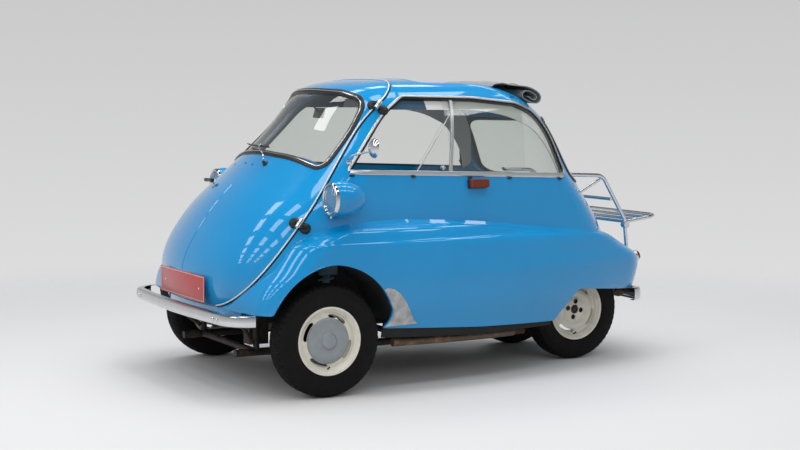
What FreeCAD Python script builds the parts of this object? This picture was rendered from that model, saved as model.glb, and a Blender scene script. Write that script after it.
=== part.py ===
"""Bubble car: a small four-wheeled car whose whole front is its door.

Millimetres. X points forward, Y to the car's left, Z up; the origin lies on the floor under
the middle of the overall box. Stations in the tables below are measured from the front axle.

The cabin is an egg made of level sections. Each section is a chain of tangent arcs: a nose
arc, a front corner, a side, a rear corner and a tail arc, mirrored on the centreline. The
wider lower body, which carries the wings and the tail, is a second set of such sections.
"""
import FreeCAD, Part
import math
import os
import re

import Sketcher
from FreeCAD import Placement, Rotation, Vector

SIZES = [
    # alias, value, what it is
    ("front_axle_x", 770.75, "front axle line, from the frame's origin"),
    ("wheelbase", 1500.0, "front axle to rear axle"),
    ("front_track", 1200.0, "between the middles of the front tyres"),
    ("rear_track", 520.0, "between the middles of the rear tyres"),
    ("body_width", 1380.0, "over the front wings"),
    ("roof_height", 1342.0, "top of the roof above the floor"),
    ("tyre_radius", 240.0, "outside of the tyre"),
    ("tyre_width", 122.0, "over the tyre's side walls"),
    ("tread_width", 76.0, "flat of the tread"),
    ("bead_radius", 126.6, "bead seat of the rim"),
    ("flange_radius", 145.0, "outside of the rim's flange"),
    ("flange_inner", 38.4, "wheel middle to the flange's inner face"),
    ("flange_wall", 3.6, "thickness of the flange"),
    ("well_radius", 112.0, "drop centre of the rim"),
    ("rim_wall", 4.0, "thickness of the rim"),
    ("disc_wall", 6.0, "thickness of the wheel disc"),
    ("cap_radius", 94.0, "front hub cap"),
    ("cap_boss_radius", 34.0, "raised middle of the hub cap"),
    ("cap_face", 46.0, "wheel middle to the hub cap's face"),
    ("cap_boss_face", 56.0, "wheel middle to the face of the cap's middle"),
    ("drum_radius", 88.0, "brake drum"),
    ("drum_depth", 32.0, "wheel middle to the drum's open side"),
    ("stub_radius", 14.0, "front stub axle"),
    ("pin_play", 0.5, "play of a shaft in its bore"),
    ("joint_gap", 6.0, "gap between pieces that move past each other"),
    ("king_pin_inset", 70.0, "front wheel's middle to the steering axis"),
    ("king_pin_radius", 12.0, "steering pin"),
    ("knuckle_radius", 20.0, "barrel of the steering knuckle"),
    ("knuckle_height", 130.0, "height of that barrel"),
    ("fork_wall", 18.0, "lug of the axle above and below the knuckle"),
    ("axle_tube_radius", 30.0, "front axle tube"),
    ("rear_shaft_radius", 15.0, "rear axle shaft"),
    ("casing_radius", 32.0, "rear axle casing"),
    ("rail_spacing", 600.0, "between the middles of the frame rails"),
    ("rail_radius", 17.0, "frame rail tube"),
    ("rail_height", 158.0, "middle of the rails above the floor"),
    ("cabin_wall", 26.0, "cabin wall"),
    ("door_wall", 40.0, "whole thickness of the front door"),
    ("lower_wall", 18.0, "wall of the wings and the tail"),
    ("seam_gap", 7.0, "gap round the front door"),
    ("door_bottom", 366.0, "lower edge of the front door"),
    ("glass_inset", 8.0, "glass face inside the body's face"),
    ("glass_wall", 5.0, "thickness of the glass"),
    ("arch_radius", 305.0, "front wheel arch"),
    ("arch_height", 262.0, "middle of the arch above the floor"),
    ("house_wall", 8.0, "wall of the wheelhouse"),
    ("house_inner", 405.0, "centreline to the wheelhouse's inner wall"),
    ("floor_height", 300.0, "underside of the floor pan"),
    ("floor_wall", 12.0, "thickness of the floor pan"),
    ("bulkhead_x", 980.0, "front axle back to the bulkhead behind the seat"),
    ("shelf_height", 640.0, "underside of the shelf over the engine"),
    ("hinge_offset", 34.0, "hinge axis outside the body's face"),
    ("hinge_pin_radius", 7.0, "pin of the door's hinges"),
    ("lamp_radius", 75.0, "headlamp rim"),
    ("wheel_rim_radius", 190.0, "steering wheel"),
    ("wheel_tube", 11.0, "grip of the steering wheel"),
    ("column_radius", 17.0, "steering column"),
    ("rack_tube", 9.5, "tube of the luggage rack"),
    ("plate_width", 520.0, "number plate"),
    ("plate_height", 116.0, "number plate"),
    ("plate_wall", 3.0, "number plate"),
    ("seat_width", 980.0, "bench seat"),
    ("engine_length", 240.0, "engine and gearbox, along the car"),
    ("engine_width", 400.0, "engine and gearbox, across the car"),
    ("engine_height", 340.0, "engine and gearbox"),
    ("seat_gap", 0.3, "clearance of a seated soft piece"),
]
BASE_WHEELBASE = 1500.0
BASE_WIDTH = 1380.0
BASE_ROOF = 1342.0
STRETCH_FROM = 340.0

# Cabin sections: height, nose x, nose radius, front corner radius, side y at SIDE_X, side
# slope in degrees, side radius (0 is straight), rear corner radius, tail radius, tail x.
SIDE_X = -150.0
CABIN = [
    (262, 340, 1700, 300, 532, 3.0, 0, 200, 600, -1850),
    (340, 372, 1700, 300, 545, 3.0, 0, 200, 600, -1850),
    (430, 400, 1600, 300, 560, 3.5, 0, 200, 600, -1805),
    (515, 402, 1500, 300, 575, 4.0, 0, 200, 600, -1768),
    (610, 366, 1450, 300, 588, 4.6, 0, 200, 600, -1728),
    (700, 310, 1350, 300, 592, 5.0, 0, 190, 600, -1680),
    (770, 258, 1200, 290, 590, 5.2, 0, 180, 600, -1632),
    (850, 184, 1000, 280, 582, 5.2, 0, 170, 580, -1580),
    (930, 100, 900, 270, 569, 5.2, 0, 165, 560, -1530),
    (1030, 8, 760, 260, 545, 5.2, 0, 155, 540, -1476),
    (1130, -80, 660, 240, 512, 5.2, 0, 140, 500, -1420),
    (1210, -146, 640, 220, 476, 5.0, 0, 130, 460, -1346),
    (1270, -202, 620, 200, 430, 4.6, 0, 120, 420, -1258),
    (1305, -264, 600, 170, 385, 4.0, 0, 110, 380, -1160),
    (1330, -370, 500, 120, 310, 3.0, 0, 90, 330, -1005),
    (1342, -520, 350, 60, 190, 1.0, 0, 60, 200, -790),
]
# Lower body sections, same columns.
LOWER = [
    (224, 352, 3000, 120, 640, -1.6, 3460, 200, 900, -1880),
    (285, 368, 3000, 120, 658, -0.8, 3900, 210, 900, -1893),
    (380, 368, 3000, 120, 682, -0.2, 4500, 220, 900, -1910),
    (430, 352, 3000, 120, 687, 0.0, 4700, 225, 900, -1920),
    (480, 322, 3000, 120, 690, 0.0, 4800, 230, 900, -1918),
    (515, 293, 3000, 125, 690, 0.3, 4900, 228, 890, -1885),
    (555, 260, 3000, 135, 688, 0.7, 5000, 225, 870, -1812),
    (600, 226, 3000, 140, 684, 1.1, 5200, 215, 820, -1742),
    (650, 176, 3000, 140, 673, 1.8, 4700, 180, 800, -1440),
    (690, 110, 2000, 130, 656, 2.2, 4400, 150, 800, -1080),
    (712, 30, 1200, 110, 628, 2.4, 4200, 100, 800, -800),
    (724, -60, 900, 80, 584, 2.4, 4200, 80, 800, -600),
]
# Door seam in side view: x, z from the sill to the roof; every second point ends an arc.
SEAM = [(395, 300), (282, 477), (142, 662), (-30, 868), (-218, 1093), (-318, 1198),
        (-414, 1277), (-452, 1312), (-500, 1348)]


def scaled(values):
    """Stretch factors of the body along, across and up, from the sheet's sizes."""
    return (values["wheelbase"] / BASE_WHEELBASE, values["body_width"] / BASE_WIDTH,
            (values["roof_height"] - STRETCH_FROM) / (BASE_ROOF - STRETCH_FROM))


doc = FreeCAD.newDocument("BubbleCar")
sheet = doc.addObject("Spreadsheet::Sheet", "Sizes")
for row, (alias, value, note) in enumerate(SIZES, start=1):
    sheet.set("A%d" % row, note)
    sheet.set("B%d" % row, str(value))
    sheet.setAlias("B%d" % row, alias)
doc.recompute()
S = {alias: float(sheet.get(alias)) for alias, value, note in SIZES}
KX, KY, KZ = scaled(S)
NODES = []


# ---------------------------------------------------------------- stations and points
def sx(x):
    """Frame x of a body station measured from the front axle; the body stretches behind it."""
    return S["front_axle_x"] + (x if x > 0 else x * KX)


def sy(y):
    """Frame y of a body station."""
    return y * KY


def sz(z):
    """Frame z of a body station; the body stretches above its sill."""
    return z if z < STRETCH_FROM else STRETCH_FROM + (z - STRETCH_FROM) * KZ


def at(x, y, z):
    """Point of the body in the frame."""
    return Vector(sx(x), sy(y), sz(z))


def bound(text):
    """Expression text with each alias prefixed by the sheet's name."""
    known = set(alias for alias, value, note in SIZES)
    return re.sub(r"[a-z_]+", lambda m: "Sizes." + m.group() if m.group() in known
                  else m.group(), text)


# ---------------------------------------------------------------- sections of tangent arcs
def meet(c1, r1, c2, r2, ahead):
    """Upper crossing of two circles, the one ahead (+X) or behind."""
    dx, dy = c2[0] - c1[0], c2[1] - c1[1]
    d = math.hypot(dx, dy)
    along = (r1 * r1 - r2 * r2 + d * d) / (2 * d)
    up = math.sqrt(max(r1 * r1 - along * along, 0.0))
    px, py = c1[0] + along * dx / d, c1[1] + along * dy / d
    a = (px - up * dy / d, py + up * dx / d)
    b = (px + up * dy / d, py - up * dx / d)
    return max(a, b) if ahead else min(a, b)


def touch(centre, through, radius):
    """Point of a circle on the ray from its centre through another point."""
    dx, dy = through[0] - centre[0], through[1] - centre[1]
    d = math.hypot(dx, dy)
    return (centre[0] + dx / d * radius, centre[1] + dy / d * radius)


class Section:
    """One level section: centres, radii and joints of its tangent arcs, in frame x and y."""

    def __init__(self, row, inset=0.0):
        z, nose_x, nose_r, front_r, side_y, slope, side_r, rear_r, tail_r, tail_x = row
        self.z = sz(z)
        self.straight = not side_r
        turn = math.radians(slope) * KY / KX
        side_r = side_r * KX * KX / KY or 1.0e6
        foot = (sx(SIDE_X), sy(side_y) - inset)
        self.side = (foot[0] + math.sin(turn) * side_r, foot[1] - math.cos(turn) * side_r)
        self.side_r = side_r
        self.nose_r, self.front_r = nose_r - inset, front_r - inset
        self.rear_r, self.tail_r = rear_r - inset, tail_r - inset
        self.nose = (sx(nose_x) - inset - self.nose_r, 0.0)
        self.tail = (sx(tail_x) + inset + self.tail_r, 0.0)
        self.front = meet(self.nose, self.nose_r - self.front_r, self.side,
                          side_r - self.front_r, True)
        self.rear = meet(self.tail, self.tail_r - self.rear_r, self.side,
                         side_r - self.rear_r, False)
        self.j1 = touch(self.nose, self.front, self.nose_r)
        self.j2 = touch(self.side, self.front, side_r)
        self.j3 = touch(self.side, self.rear, side_r)
        self.j4 = touch(self.tail, self.rear, self.tail_r)

    def half_width(self, x):
        """Half width at a frame x."""
        if x > self.j1[0]:
            c, r = self.nose, self.nose_r
        elif x > self.j2[0]:
            c, r = self.front, self.front_r
        elif x > self.j3[0]:
            c, r = self.side, self.side_r
        elif x > self.j4[0]:
            c, r = self.rear, self.rear_r
        else:
            c, r = self.tail, self.tail_r
        return c[1] + math.sqrt(max(r * r - (x - c[0]) ** 2, 0.0))

    def wire(self, drop=0.0):
        """Closed wire of eight edges, lowered by drop."""
        z = self.z - drop

        def p(q, side=1):
            return Vector(q[0], side * q[1], z)

        def mid(centre, radius, a, b):
            half = ((a[0] + b[0]) / 2, (a[1] + b[1]) / 2)
            return touch(centre, half, radius)

        def arc(a, m, b):
            return Part.Arc(a, m, b).toShape()

        nose = Vector(self.nose[0] + self.nose_r, 0, z)
        tail = Vector(self.tail[0] - self.tail_r, 0, z)
        m1 = mid(self.front, self.front_r, self.j1, self.j2)
        m2 = mid(self.side, self.side_r, self.j2, self.j3)
        m3 = mid(self.rear, self.rear_r, self.j3, self.j4)

        def flank(a, m, b):
            return Part.LineSegment(a, b).toShape() if self.straight else arc(a, m, b)

        edges = [
            arc(p(self.j1, -1), nose, p(self.j1)),
            arc(p(self.j1), p(m1), p(self.j2)),
            flank(p(self.j2), p(m2), p(self.j3)),
            arc(p(self.j3), p(m3), p(self.j4)),
            arc(p(self.j4), tail, p(self.j4, -1)),
            arc(p(self.j4, -1), p(m3, -1), p(self.j3, -1)),
            flank(p(self.j3, -1), p(m2, -1), p(self.j2, -1)),
            arc(p(self.j2, -1), p(m1, -1), p(self.j1, -1)),
        ]
        return Part.Wire(edges)


def loft(table, inset=0.0, below=0.0):
    """Solid through the table's sections, set in and lowered by inset, and run down by below."""
    wires = [Section(row, inset).wire(inset) for row in table]
    if below:
        wires.insert(0, Section(table[0], inset).wire(inset + below))
    return Part.makeLoft(wires, True, True)


def row_at(table, z):
    """Section row at a station height, between its neighbours."""
    for low, high in zip(table[:-1], table[1:]):
        if z <= high[0]:
            t = (z - low[0]) / float(high[0] - low[0])
            return tuple(a + (b - a) * t for a, b in zip(low, high))
    return table[-1]


def skin(table, x, z):
    """Frame half width of the body's face at station x and station height z."""
    return Section(row_at(table, z)).half_width(sx(x))


def nose(table, z, y=0.0):
    """Frame x of the body's front face at station height z and frame y."""
    section = Section(row_at(table, z))
    return section.nose[0] + math.sqrt(section.nose_r ** 2 - y * y)


# ---------------------------------------------------------------- cutting prisms
def rod(a, b, radius):
    """Round bar between two points."""
    return Part.makeCylinder(radius, (b - a).Length, a, b - a)


def joined(shapes):
    """Union of shapes."""
    out = shapes[0]
    for shape in shapes[1:]:
        out = out.fuse(shape)
    return out.removeSplitter()


def chain(points, closed=True):
    """Wire of straight edges through points."""
    return Part.makePolygon(list(points) + ([points[0]] if closed else []))


def rounded(points, radii):
    """Closed wire through corner points, each corner rounded by its radius."""
    edges, count = [], len(points)
    starts, ends = [], []
    for i, corner in enumerate(points):
        before, after = points[i - 1], points[(i + 1) % count]
        u, v = (before - corner).normalize(), (after - corner).normalize()
        half = u.getAngle(v) / 2
        if radii[i] <= 0:
            starts.append(corner), ends.append(corner)
            continue
        run = radii[i] / math.tan(half)
        bisector = (u + v).normalize()
        a, b = corner + u * run, corner + v * run
        centre = corner + bisector * (radii[i] / math.sin(half))
        edges.append((i, Part.Arc(a, centre - bisector * radii[i], b).toShape()))
        starts.append(a), ends.append(b)
    arcs = dict(edges)
    out = []
    for i in range(count):
        if i in arcs:
            out.append(arcs[i])
        out.append(Part.LineSegment(ends[i], starts[(i + 1) % count]).toShape())
    return Part.Wire(out)


def prism(wire, run):
    """Solid swept by a closed flat wire along a vector."""
    return Part.Face(wire).extrude(run)


def side_prism(rows, radii=None, y0=-900.0, y1=900.0):
    """Prism across the car from a side-view outline of station x and z."""
    points = [Vector(sx(x), y0, sz(z)) for x, z in rows]
    wire = rounded(points, radii) if radii else chain(points)
    return prism(wire, Vector(0, y1 - y0, 0))


def block(x0, x1, y0, y1, z0, z1):
    """Box between frame coordinates."""
    return Part.makeBox(x1 - x0, y1 - y0, z1 - z0, Vector(x0, y0, z0))


def ahead_of_seam(shift):
    """Everything ahead of the door's seam, the seam moved forward by shift."""
    off = Vector(0.76, 0, 0.65) * shift
    pts = [Vector(sx(x), -900, sz(z)) + off for x, z in SEAM]
    edges = [Part.Arc(pts[i], pts[i + 1], pts[i + 2]).toShape() for i in (0, 2, 4, 6)]
    far = [pts[-1], Vector(sx(-560), -900, sz(1500)), Vector(sx(900), -900, sz(1500)),
           Vector(sx(900), -900, pts[0].z), pts[0]]
    edges += Part.makePolygon(far).Edges
    return prism(Part.Wire(edges), Vector(0, 1800, 0))


# ---------------------------------------------------------------- document objects
def feature(label, shape, node=True):
    """Piece whose shape is worked out from the sheet's sizes."""
    obj = doc.addObject("Part::Feature", label)
    obj.Shape = shape
    obj.Placement = shape.Placement
    obj.Label = label
    if node:
        NODES.append(obj)
    return obj


def primitive(kind, name, base, rotation=None, **sizes):
    """Part primitive whose sizes and base point are bound to the sheet."""
    obj = doc.addObject("Part::" + kind, name)
    if rotation:
        obj.Placement = Placement(Vector(), Rotation(Vector(*rotation[0]), rotation[1]))
    for name_of, text in sizes.items():
        obj.setExpression(name_of, bound(str(text)))
    for axis, text in zip("xyz", base):
        obj.setExpression("Placement.Base." + axis, bound(str(text)))
    return obj


def fused(label, parts, node=True):
    """Union of document objects."""
    obj = doc.addObject("Part::MultiFuse", label)
    obj.Shapes = parts
    obj.Label = label
    if node:
        NODES.append(obj)
    return obj


def revolved(label, profile, centre, outward, node=True):
    """Body of revolution about Y: profile rows are (radius, distance outward) expressions."""
    body = doc.addObject("PartDesign::Body", label)
    body.Label = label
    sketch = body.newObject("Sketcher::SketchObject", label + "_profile")
    plane = [f for f in body.Origin.OriginFeatures if f.Role == "XY_Plane"][0]
    sketch.AttachmentSupport = (plane, [""])
    sketch.MapMode = "FlatFace"
    rows = []
    for radius, reach in profile:
        rows.append((radius, ("-(%s)" if outward < 0 else "(%s)") % reach))
    values = [[eval_size(text) for text in pair] for pair in rows]
    for i, (r0, d0) in enumerate(values):
        r1, d1 = values[(i + 1) % len(values)]
        sketch.addGeometry(Part.LineSegment(Vector(r0, d0, 0), Vector(r1, d1, 0)), False)
    for i, (radius, reach) in enumerate(rows):
        sketch.addConstraint(Sketcher.Constraint("Coincident", i, 2, (i + 1) % len(rows), 1))
        for kind, text, value in (("DistanceX", radius, values[i][0]),
                                  ("DistanceY", reach, values[i][1])):
            index = sketch.addConstraint(Sketcher.Constraint(kind, -1, 1, i, 1, value))
            sketch.setExpression("Constraints[%d]" % index, bound(text))
    turn = body.newObject("PartDesign::Revolution", label + "_turn")
    turn.Profile = sketch
    turn.ReferenceAxis = (sketch, ["V_Axis"])
    turn.Angle = 360.0
    for axis, text in zip("xyz", centre):
        body.setExpression("Placement.Base." + axis, bound(text))
    if node:
        NODES.append(body)
    return body


def eval_size(text):
    """Value of an expression text from the sheet."""
    scratch = doc.getObject("Scratch") or doc.addObject("App::FeaturePython", "Scratch")
    if "number" not in scratch.PropertiesList:
        scratch.addProperty("App::PropertyFloat", "number")
    scratch.setExpression("number", bound(text))
    scratch.recompute()
    return float(scratch.number)


# ---------------------------------------------------------------- cabin, door and lower body
GAP = S["seam_gap"] / 2
ARCH = at(0, 0, 0) + Vector(0, 0, S["arch_height"])
WINDOW = [(-146, 941), (-368, 1206), (-470, 1268), (-850, 1262), (-1085, 1240), (-1218, 1195),
          (-1288, 1090), (-1336, 897)]
WINDOW_R = [26, 400, 60, 0, 0, 160, 300, 30]
SCREEN_HALF = [(260, 990, 900), (410, 952, 60), (462, 975, 40), (396, 1215, 120),
               (368, 1264, 50), (310, 1283, 80)]
SCREEN = [(0, 1012, 1500)] + SCREEN_HALF + [(0, 1292, 1500)] + \
    [(-y, z, r) for y, z, r in reversed(SCREEN_HALF)]
REAR_GLASS = [(400, 880), (306, 1158), (-306, 1158), (-400, 880)]
FIXED_PANE_X = -690
ROOF_HOLE = (-1180, -600, 300)

egg = loft(CABIN, 0.0)
egg_cavity = loft(CABIN, S["cabin_wall"], 60)
door_cavity = loft(CABIN, S["door_wall"], 60)
lower = loft(LOWER, 0.0)
lower_cavity = loft(LOWER, S["lower_wall"], 60)


def arch_cylinder(radius, y0, y1):
    """Cylinder about the front wheel arch's axis."""
    return Part.makeCylinder(radius, y1 - y0, Vector(ARCH.x, y0, ARCH.z), Vector(0, 1, 0))


def both(y0, y1, make):
    """The same solid on the left and, mirrored, on the right."""
    return [make(y0, y1), make(-y1, -y0)]


def window_prism(rows, y0, y1):
    """Prism of a side-window outline on one side of the car."""
    return side_prism(rows, None, y0, y1)


window_cut = side_prism(WINDOW, WINDOW_R)
screen_points = [Vector(sx(-620), sy(y), sz(z)) for y, z, r in SCREEN]
screen_cut = prism(rounded(screen_points, [r * KY for y, z, r in SCREEN]), Vector(1200, 0, 0))
glass_points = [Vector(sx(-1750), sy(y), sz(z)) for y, z in REAR_GLASS]
rear_cut = prism(rounded(glass_points, [r * KY for r in (70, 110, 110, 70)]),
                 Vector(500 * KX, 0, 0))
hole_x0, hole_x1, hole_y = sx(ROOF_HOLE[0]), sx(ROOF_HOLE[1]), sy(ROOF_HOLE[2])
hole_points = [Vector(hole_x0, -hole_y, sz(1200)), Vector(hole_x1, -hole_y, sz(1200)),
               Vector(hole_x1, hole_y, sz(1200)), Vector(hole_x0, hole_y, sz(1200))]
roof_cut = prism(rounded(hole_points, [50, 50, 50, 50]), Vector(0, 0, 300))

# Engine hatch on the right flank.
HATCH = [(-1240, 350), (-1020, 350), (-1020, 585), (-1240, 585)]
hatch_hole = side_prism(HATCH, [30, 30, 30, 30], -900.0, -300.0)
lid_rows = [(-1240, 350), (-1020, 350), (-1020, 585), (-1240, 585)]
lid_gap = S["joint_gap"]
lid_points = [Vector(sx(x) + lid_gap * (1 if x < -1100 else -1), -900,
                     sz(z) + lid_gap * (1 if z < 500 else -1)) for x, z in lid_rows]
lid_prism = prism(rounded(lid_points, [25, 25, 25, 25]), Vector(0, 600, 0))

door_zone = ahead_of_seam(GAP)
body_zone = ahead_of_seam(-GAP)
under = block(sx(-3000), sx(1500), -900, 900, -100, S["floor_height"])
front_low = block(sx(200), sx(900), -900, 900, -100, S["door_bottom"] - S["seam_gap"])
engine_room = block(sx(-3000), sx(-S["bulkhead_x"]), -900, 900, -100, sz(600))

cabin = egg.cut(egg_cavity).cut(body_zone).cut(under).cut(front_low).cut(engine_room)
cabin = cabin.cut(window_cut).cut(rear_cut).cut(roof_cut).cut(hatch_hole)
for tool in both(S["house_inner"], 900.0,
                 lambda a, b: arch_cylinder(S["arch_radius"] + S["house_wall"], a, b)):
    cabin = cabin.cut(tool)
cabin_shell = feature("cabin_shell", cabin)

door_floor = block(sx(-3000), sx(1500), -900, 900, -100, S["door_bottom"])
door = egg.cut(door_cavity).common(door_zone).cut(door_floor).cut(screen_cut)
front_door = feature("front_door", door)

# Wings, sills and tail: the lower body outside the cabin.
SILL = [(-1900, 0), (900, 0), (900, 280), (-200, 285), (-783, 247), (-1240, 229), (-1900, 200)]
SKIRT = [(-1240, 100), (-1240, 229), (-1393, 377), (-2300, 288), (-2300, 100)]
wide = loft(CABIN, -S["seam_gap"] - 0.5)
skirt = lower.cut(lower_cavity).cut(loft(CABIN, -S["seat_gap"]))
skirt = skirt.cut(wide.common(body_zone).cut(front_low))
skirt = skirt.cut(side_prism(SILL)).cut(side_prism(SKIRT))
for side in (-1, 1):
    y0 = min(side * sy(525), side * 900)
    skirt = skirt.cut(block(sx(200), sx(900), y0, y0 + 900 - sy(525), -100, sz(362)))
for tool in both(S["house_inner"], 900.0, lambda a, b: arch_cylinder(S["arch_radius"], a, b)):
    skirt = skirt.cut(tool)
TAIL_X = -1400
tail_zone = block(sx(-3000), sx(TAIL_X), -900, 900, 0, 900)
lid_shape = skirt.common(lid_prism)
skirt = skirt.cut(hatch_hole)
front_part = skirt.cut(tail_zone)
left_zone = block(sx(-3000), sx(1500), 0, 900, 0, 1000)


def largest(shape):
    """The largest solid of a shape, without slivers."""
    return max(shape.Solids, key=lambda s: s.Volume)


left_side_panel = feature("left_side_panel", largest(front_part.common(left_zone)))
tail_panel = feature("tail_panel", largest(skirt.common(tail_zone)))
engine_lid_shape = largest(lid_shape)

# Hinge of the engine hatch: a pin in two lugs of the panel, two barrels on the lid.
LID_TOP = 585
lid_ends = []
for x in (-1236, -1024):
    lid_ends.append(Vector(sx(x), -skin(LOWER, x, LID_TOP) - 7, sz(LID_TOP) - 3))
LID_DIR = (lid_ends[0] - lid_ends[1]).normalize()
LID_PIN = lid_ends[1]
lid_span = (lid_ends[0] - lid_ends[1]).Length


def lid_cylinder(radius, start, end):
    """Cylinder on the lid's hinge axis."""
    return Part.makeCylinder(radius, end - start, LID_PIN + LID_DIR * start, LID_DIR)


panel_tabs = [lid_cylinder(3, 0, lid_span)]
lid_tabs = []
for start in (30, lid_span - 60):
    foot = LID_PIN + LID_DIR * (start + 15)
    lid_tabs.append(lid_cylinder(6, start, start + 30))
    lid_tabs.append(block(foot.x - 13, foot.x + 13, foot.y - 3, foot.y + 26,
                          foot.z - 24, foot.z - 2))
for start in (12, lid_span - 26):
    foot = LID_PIN + LID_DIR * (start + 7)
    panel_tabs.append(lid_cylinder(6, start, start + 14))
    panel_tabs.append(block(foot.x - 6, foot.x + 6, foot.y - 3, foot.y + 26,
                            foot.z + 2, foot.z + 26))
lid_outside = joined(lid_tabs).cut(lower).cut(lid_cylinder(3 + S["pin_play"], 0, lid_span))
panel_outside = joined(panel_tabs).cut(lower)
engine_lid = feature("engine_lid", largest(engine_lid_shape.fuse(lid_outside)))
right_panel = largest(front_part.cut(left_zone))
right_side_panel = feature("right_side_panel", largest(right_panel.fuse(panel_outside)))

# Floor, wheelhouses, bulkhead and shelf.
floor_top = S["floor_height"] + S["floor_wall"]
slab = block(sx(-S["bulkhead_x"]), sx(600), -700, 700, S["floor_height"], floor_top)
slab_rear = slab.common(egg_cavity).cut(block(sx(200), sx(900), -900, 900, 0, 900))
slab_front = slab.common(lower_cavity).common(block(sx(200), sx(900), -sy(500), sy(500), 0, 900))
pan = slab_rear.fuse(slab_front)
for tool in both(S["house_inner"], 900.0,
                 lambda a, b: arch_cylinder(S["arch_radius"] + S["house_wall"], a, b)):
    pan = pan.cut(tool)
box_y = S["seat_width"] / 2 - 60
riser = block(sx(-850), sx(-500), -box_y, box_y, floor_top, sz(455))
riser = riser.cut(block(sx(-842), sx(-508), -box_y + 8, box_y - 8, floor_top, sz(447)))
column_hole = Part.makeCylinder(34, 60, Vector(sx(150), sy(250), S["floor_height"] - 20))
floor_pan = feature("floor_pan", pan.fuse(riser).cut(column_hole).removeSplitter())

house = []
for side in (1, -1):
    y0, y1 = sorted((side * S["house_inner"], side * 800.0))
    inner0, inner1 = sorted((side * (S["house_inner"] + S["house_wall"]), side * 800.0))
    drum = arch_cylinder(S["arch_radius"] + S["house_wall"], y0, y1)
    hollow = arch_cylinder(S["arch_radius"], inner0, inner1)
    house.append(drum.cut(hollow).common(lower_cavity).cut(under))
front_wheelhouses = feature("front_wheelhouses", Part.makeCompound(house))

bulk_x = sx(-S["bulkhead_x"])
wall = block(bulk_x - S["floor_wall"], bulk_x, -700, 700, S["floor_height"], sz(640))
shelf = block(sx(-1800), bulk_x, -700, 700, sz(S["shelf_height"]), sz(S["shelf_height"]) + 12)
rear_bulkhead = feature("rear_bulkhead", wall.fuse(shelf).common(egg_cavity).removeSplitter())

# Glass: shells of the cabin's own form, set in from its face.
glass_out = loft(CABIN, S["glass_inset"])
glass_in = loft(CABIN, S["glass_inset"] + S["glass_wall"], 60)
pane = glass_out.cut(glass_in)
slide_out = loft(CABIN, S["glass_inset"] + S["glass_wall"] + 2)
slide_in = loft(CABIN, S["glass_inset"] + 2 * S["glass_wall"] + 2, 60)
slide = slide_out.cut(slide_in)
REAR_PANE = [(FIXED_PANE_X, 800), (FIXED_PANE_X, 1400), (-1500, 1400), (-1500, 800)]
OPEN_PANE = [(-492, 800), (-785, 1400), (-1100, 1400), (-1075, 800)]
SHUT_PANE = [(-60, 800), (-60, 1400), (-720, 1400), (-720, 800)]
panes = []
for rows, shell, y0, y1 in ((REAR_PANE, pane, 200.0, 900.0), (OPEN_PANE, slide, 200.0, 900.0),
                            (REAR_PANE, pane, -900.0, -200.0), (SHUT_PANE, slide, -900.0, -200.0)):
    one = shell.common(window_cut).common(window_prism(rows, y0, y1))
    panes.append(largest(one))
side_windows = feature("side_windows", Part.makeCompound(panes))
rear_window = feature("rear_window", largest(pane.common(rear_cut)))
windscreen = feature("windscreen", largest(pane.common(screen_cut).common(door_zone)))

# ---------------------------------------------------------------- wheels
FRONT_RIM = [
    ("flange_radius", "flange_inner + flange_wall"), ("flange_radius", "flange_inner"),
    ("bead_radius", "flange_inner"), ("bead_radius", "22"), ("well_radius", "17"),
    ("well_radius", "-17"), ("bead_radius", "-22"), ("bead_radius", "-flange_inner"),
    ("flange_radius", "-flange_inner"), ("flange_radius", "-flange_inner - flange_wall"),
    ("bead_radius - rim_wall", "-flange_inner - flange_wall"),
    ("bead_radius - rim_wall", "-25"), ("well_radius - rim_wall", "-20"),
    ("well_radius - rim_wall", "2"), ("cap_radius", "9"), ("drum_radius", "9"),
    ("drum_radius", "-drum_depth"), ("stub_radius + pin_play", "-drum_depth"),
    ("stub_radius + pin_play", "6"), ("0", "6"), ("0", "cap_boss_face"),
    ("cap_boss_radius - 3", "cap_boss_face"), ("cap_boss_radius", "cap_face"),
    ("cap_radius - 16", "cap_face - 1"), ("cap_radius", "cap_face - 12"),
    ("cap_radius", "9 + disc_wall"), ("well_radius - rim_wall", "2 + disc_wall"),
    ("well_radius - rim_wall", "20"), ("bead_radius - rim_wall", "25"),
    ("bead_radius - rim_wall", "flange_inner + flange_wall"),
]
REAR_RIM = FRONT_RIM[:14] + [
    ("92", "10"), ("60", "20"), ("rear_shaft_radius", "20"),
    ("rear_shaft_radius", "20 + disc_wall"), ("62", "20 + disc_wall"),
    ("95", "9 + disc_wall"),
] + FRONT_RIM[26:]
TYRE = [
    ("bead_radius", "-flange_inner"), ("flange_radius + 2", "-flange_inner"),
    ("flange_radius + 8", "-tyre_width / 2 + 9"), ("tyre_radius - 56", "-tyre_width / 2"),
    ("tyre_radius - 26", "-tyre_width / 2 + 3"), ("tyre_radius - 8", "-tread_width / 2 - 10"),
    ("tyre_radius", "-tread_width / 2"), ("tyre_radius", "tread_width / 2"),
    ("tyre_radius - 8", "tread_width / 2 + 10"), ("tyre_radius - 26", "tyre_width / 2 - 3"),
    ("tyre_radius - 56", "tyre_width / 2"), ("flange_radius + 8", "tyre_width / 2 - 9"),
    ("flange_radius + 2", "flange_inner"), ("bead_radius", "flange_inner"),
]
for name, side in (("left", 1), ("right", -1)):
    hub = ("front_axle_x", "%d * front_track / 2" % side, "tyre_radius")
    revolved(name + "_front_rim", FRONT_RIM, hub, side)
    revolved(name + "_front_tyre", TYRE, hub, side)

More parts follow.
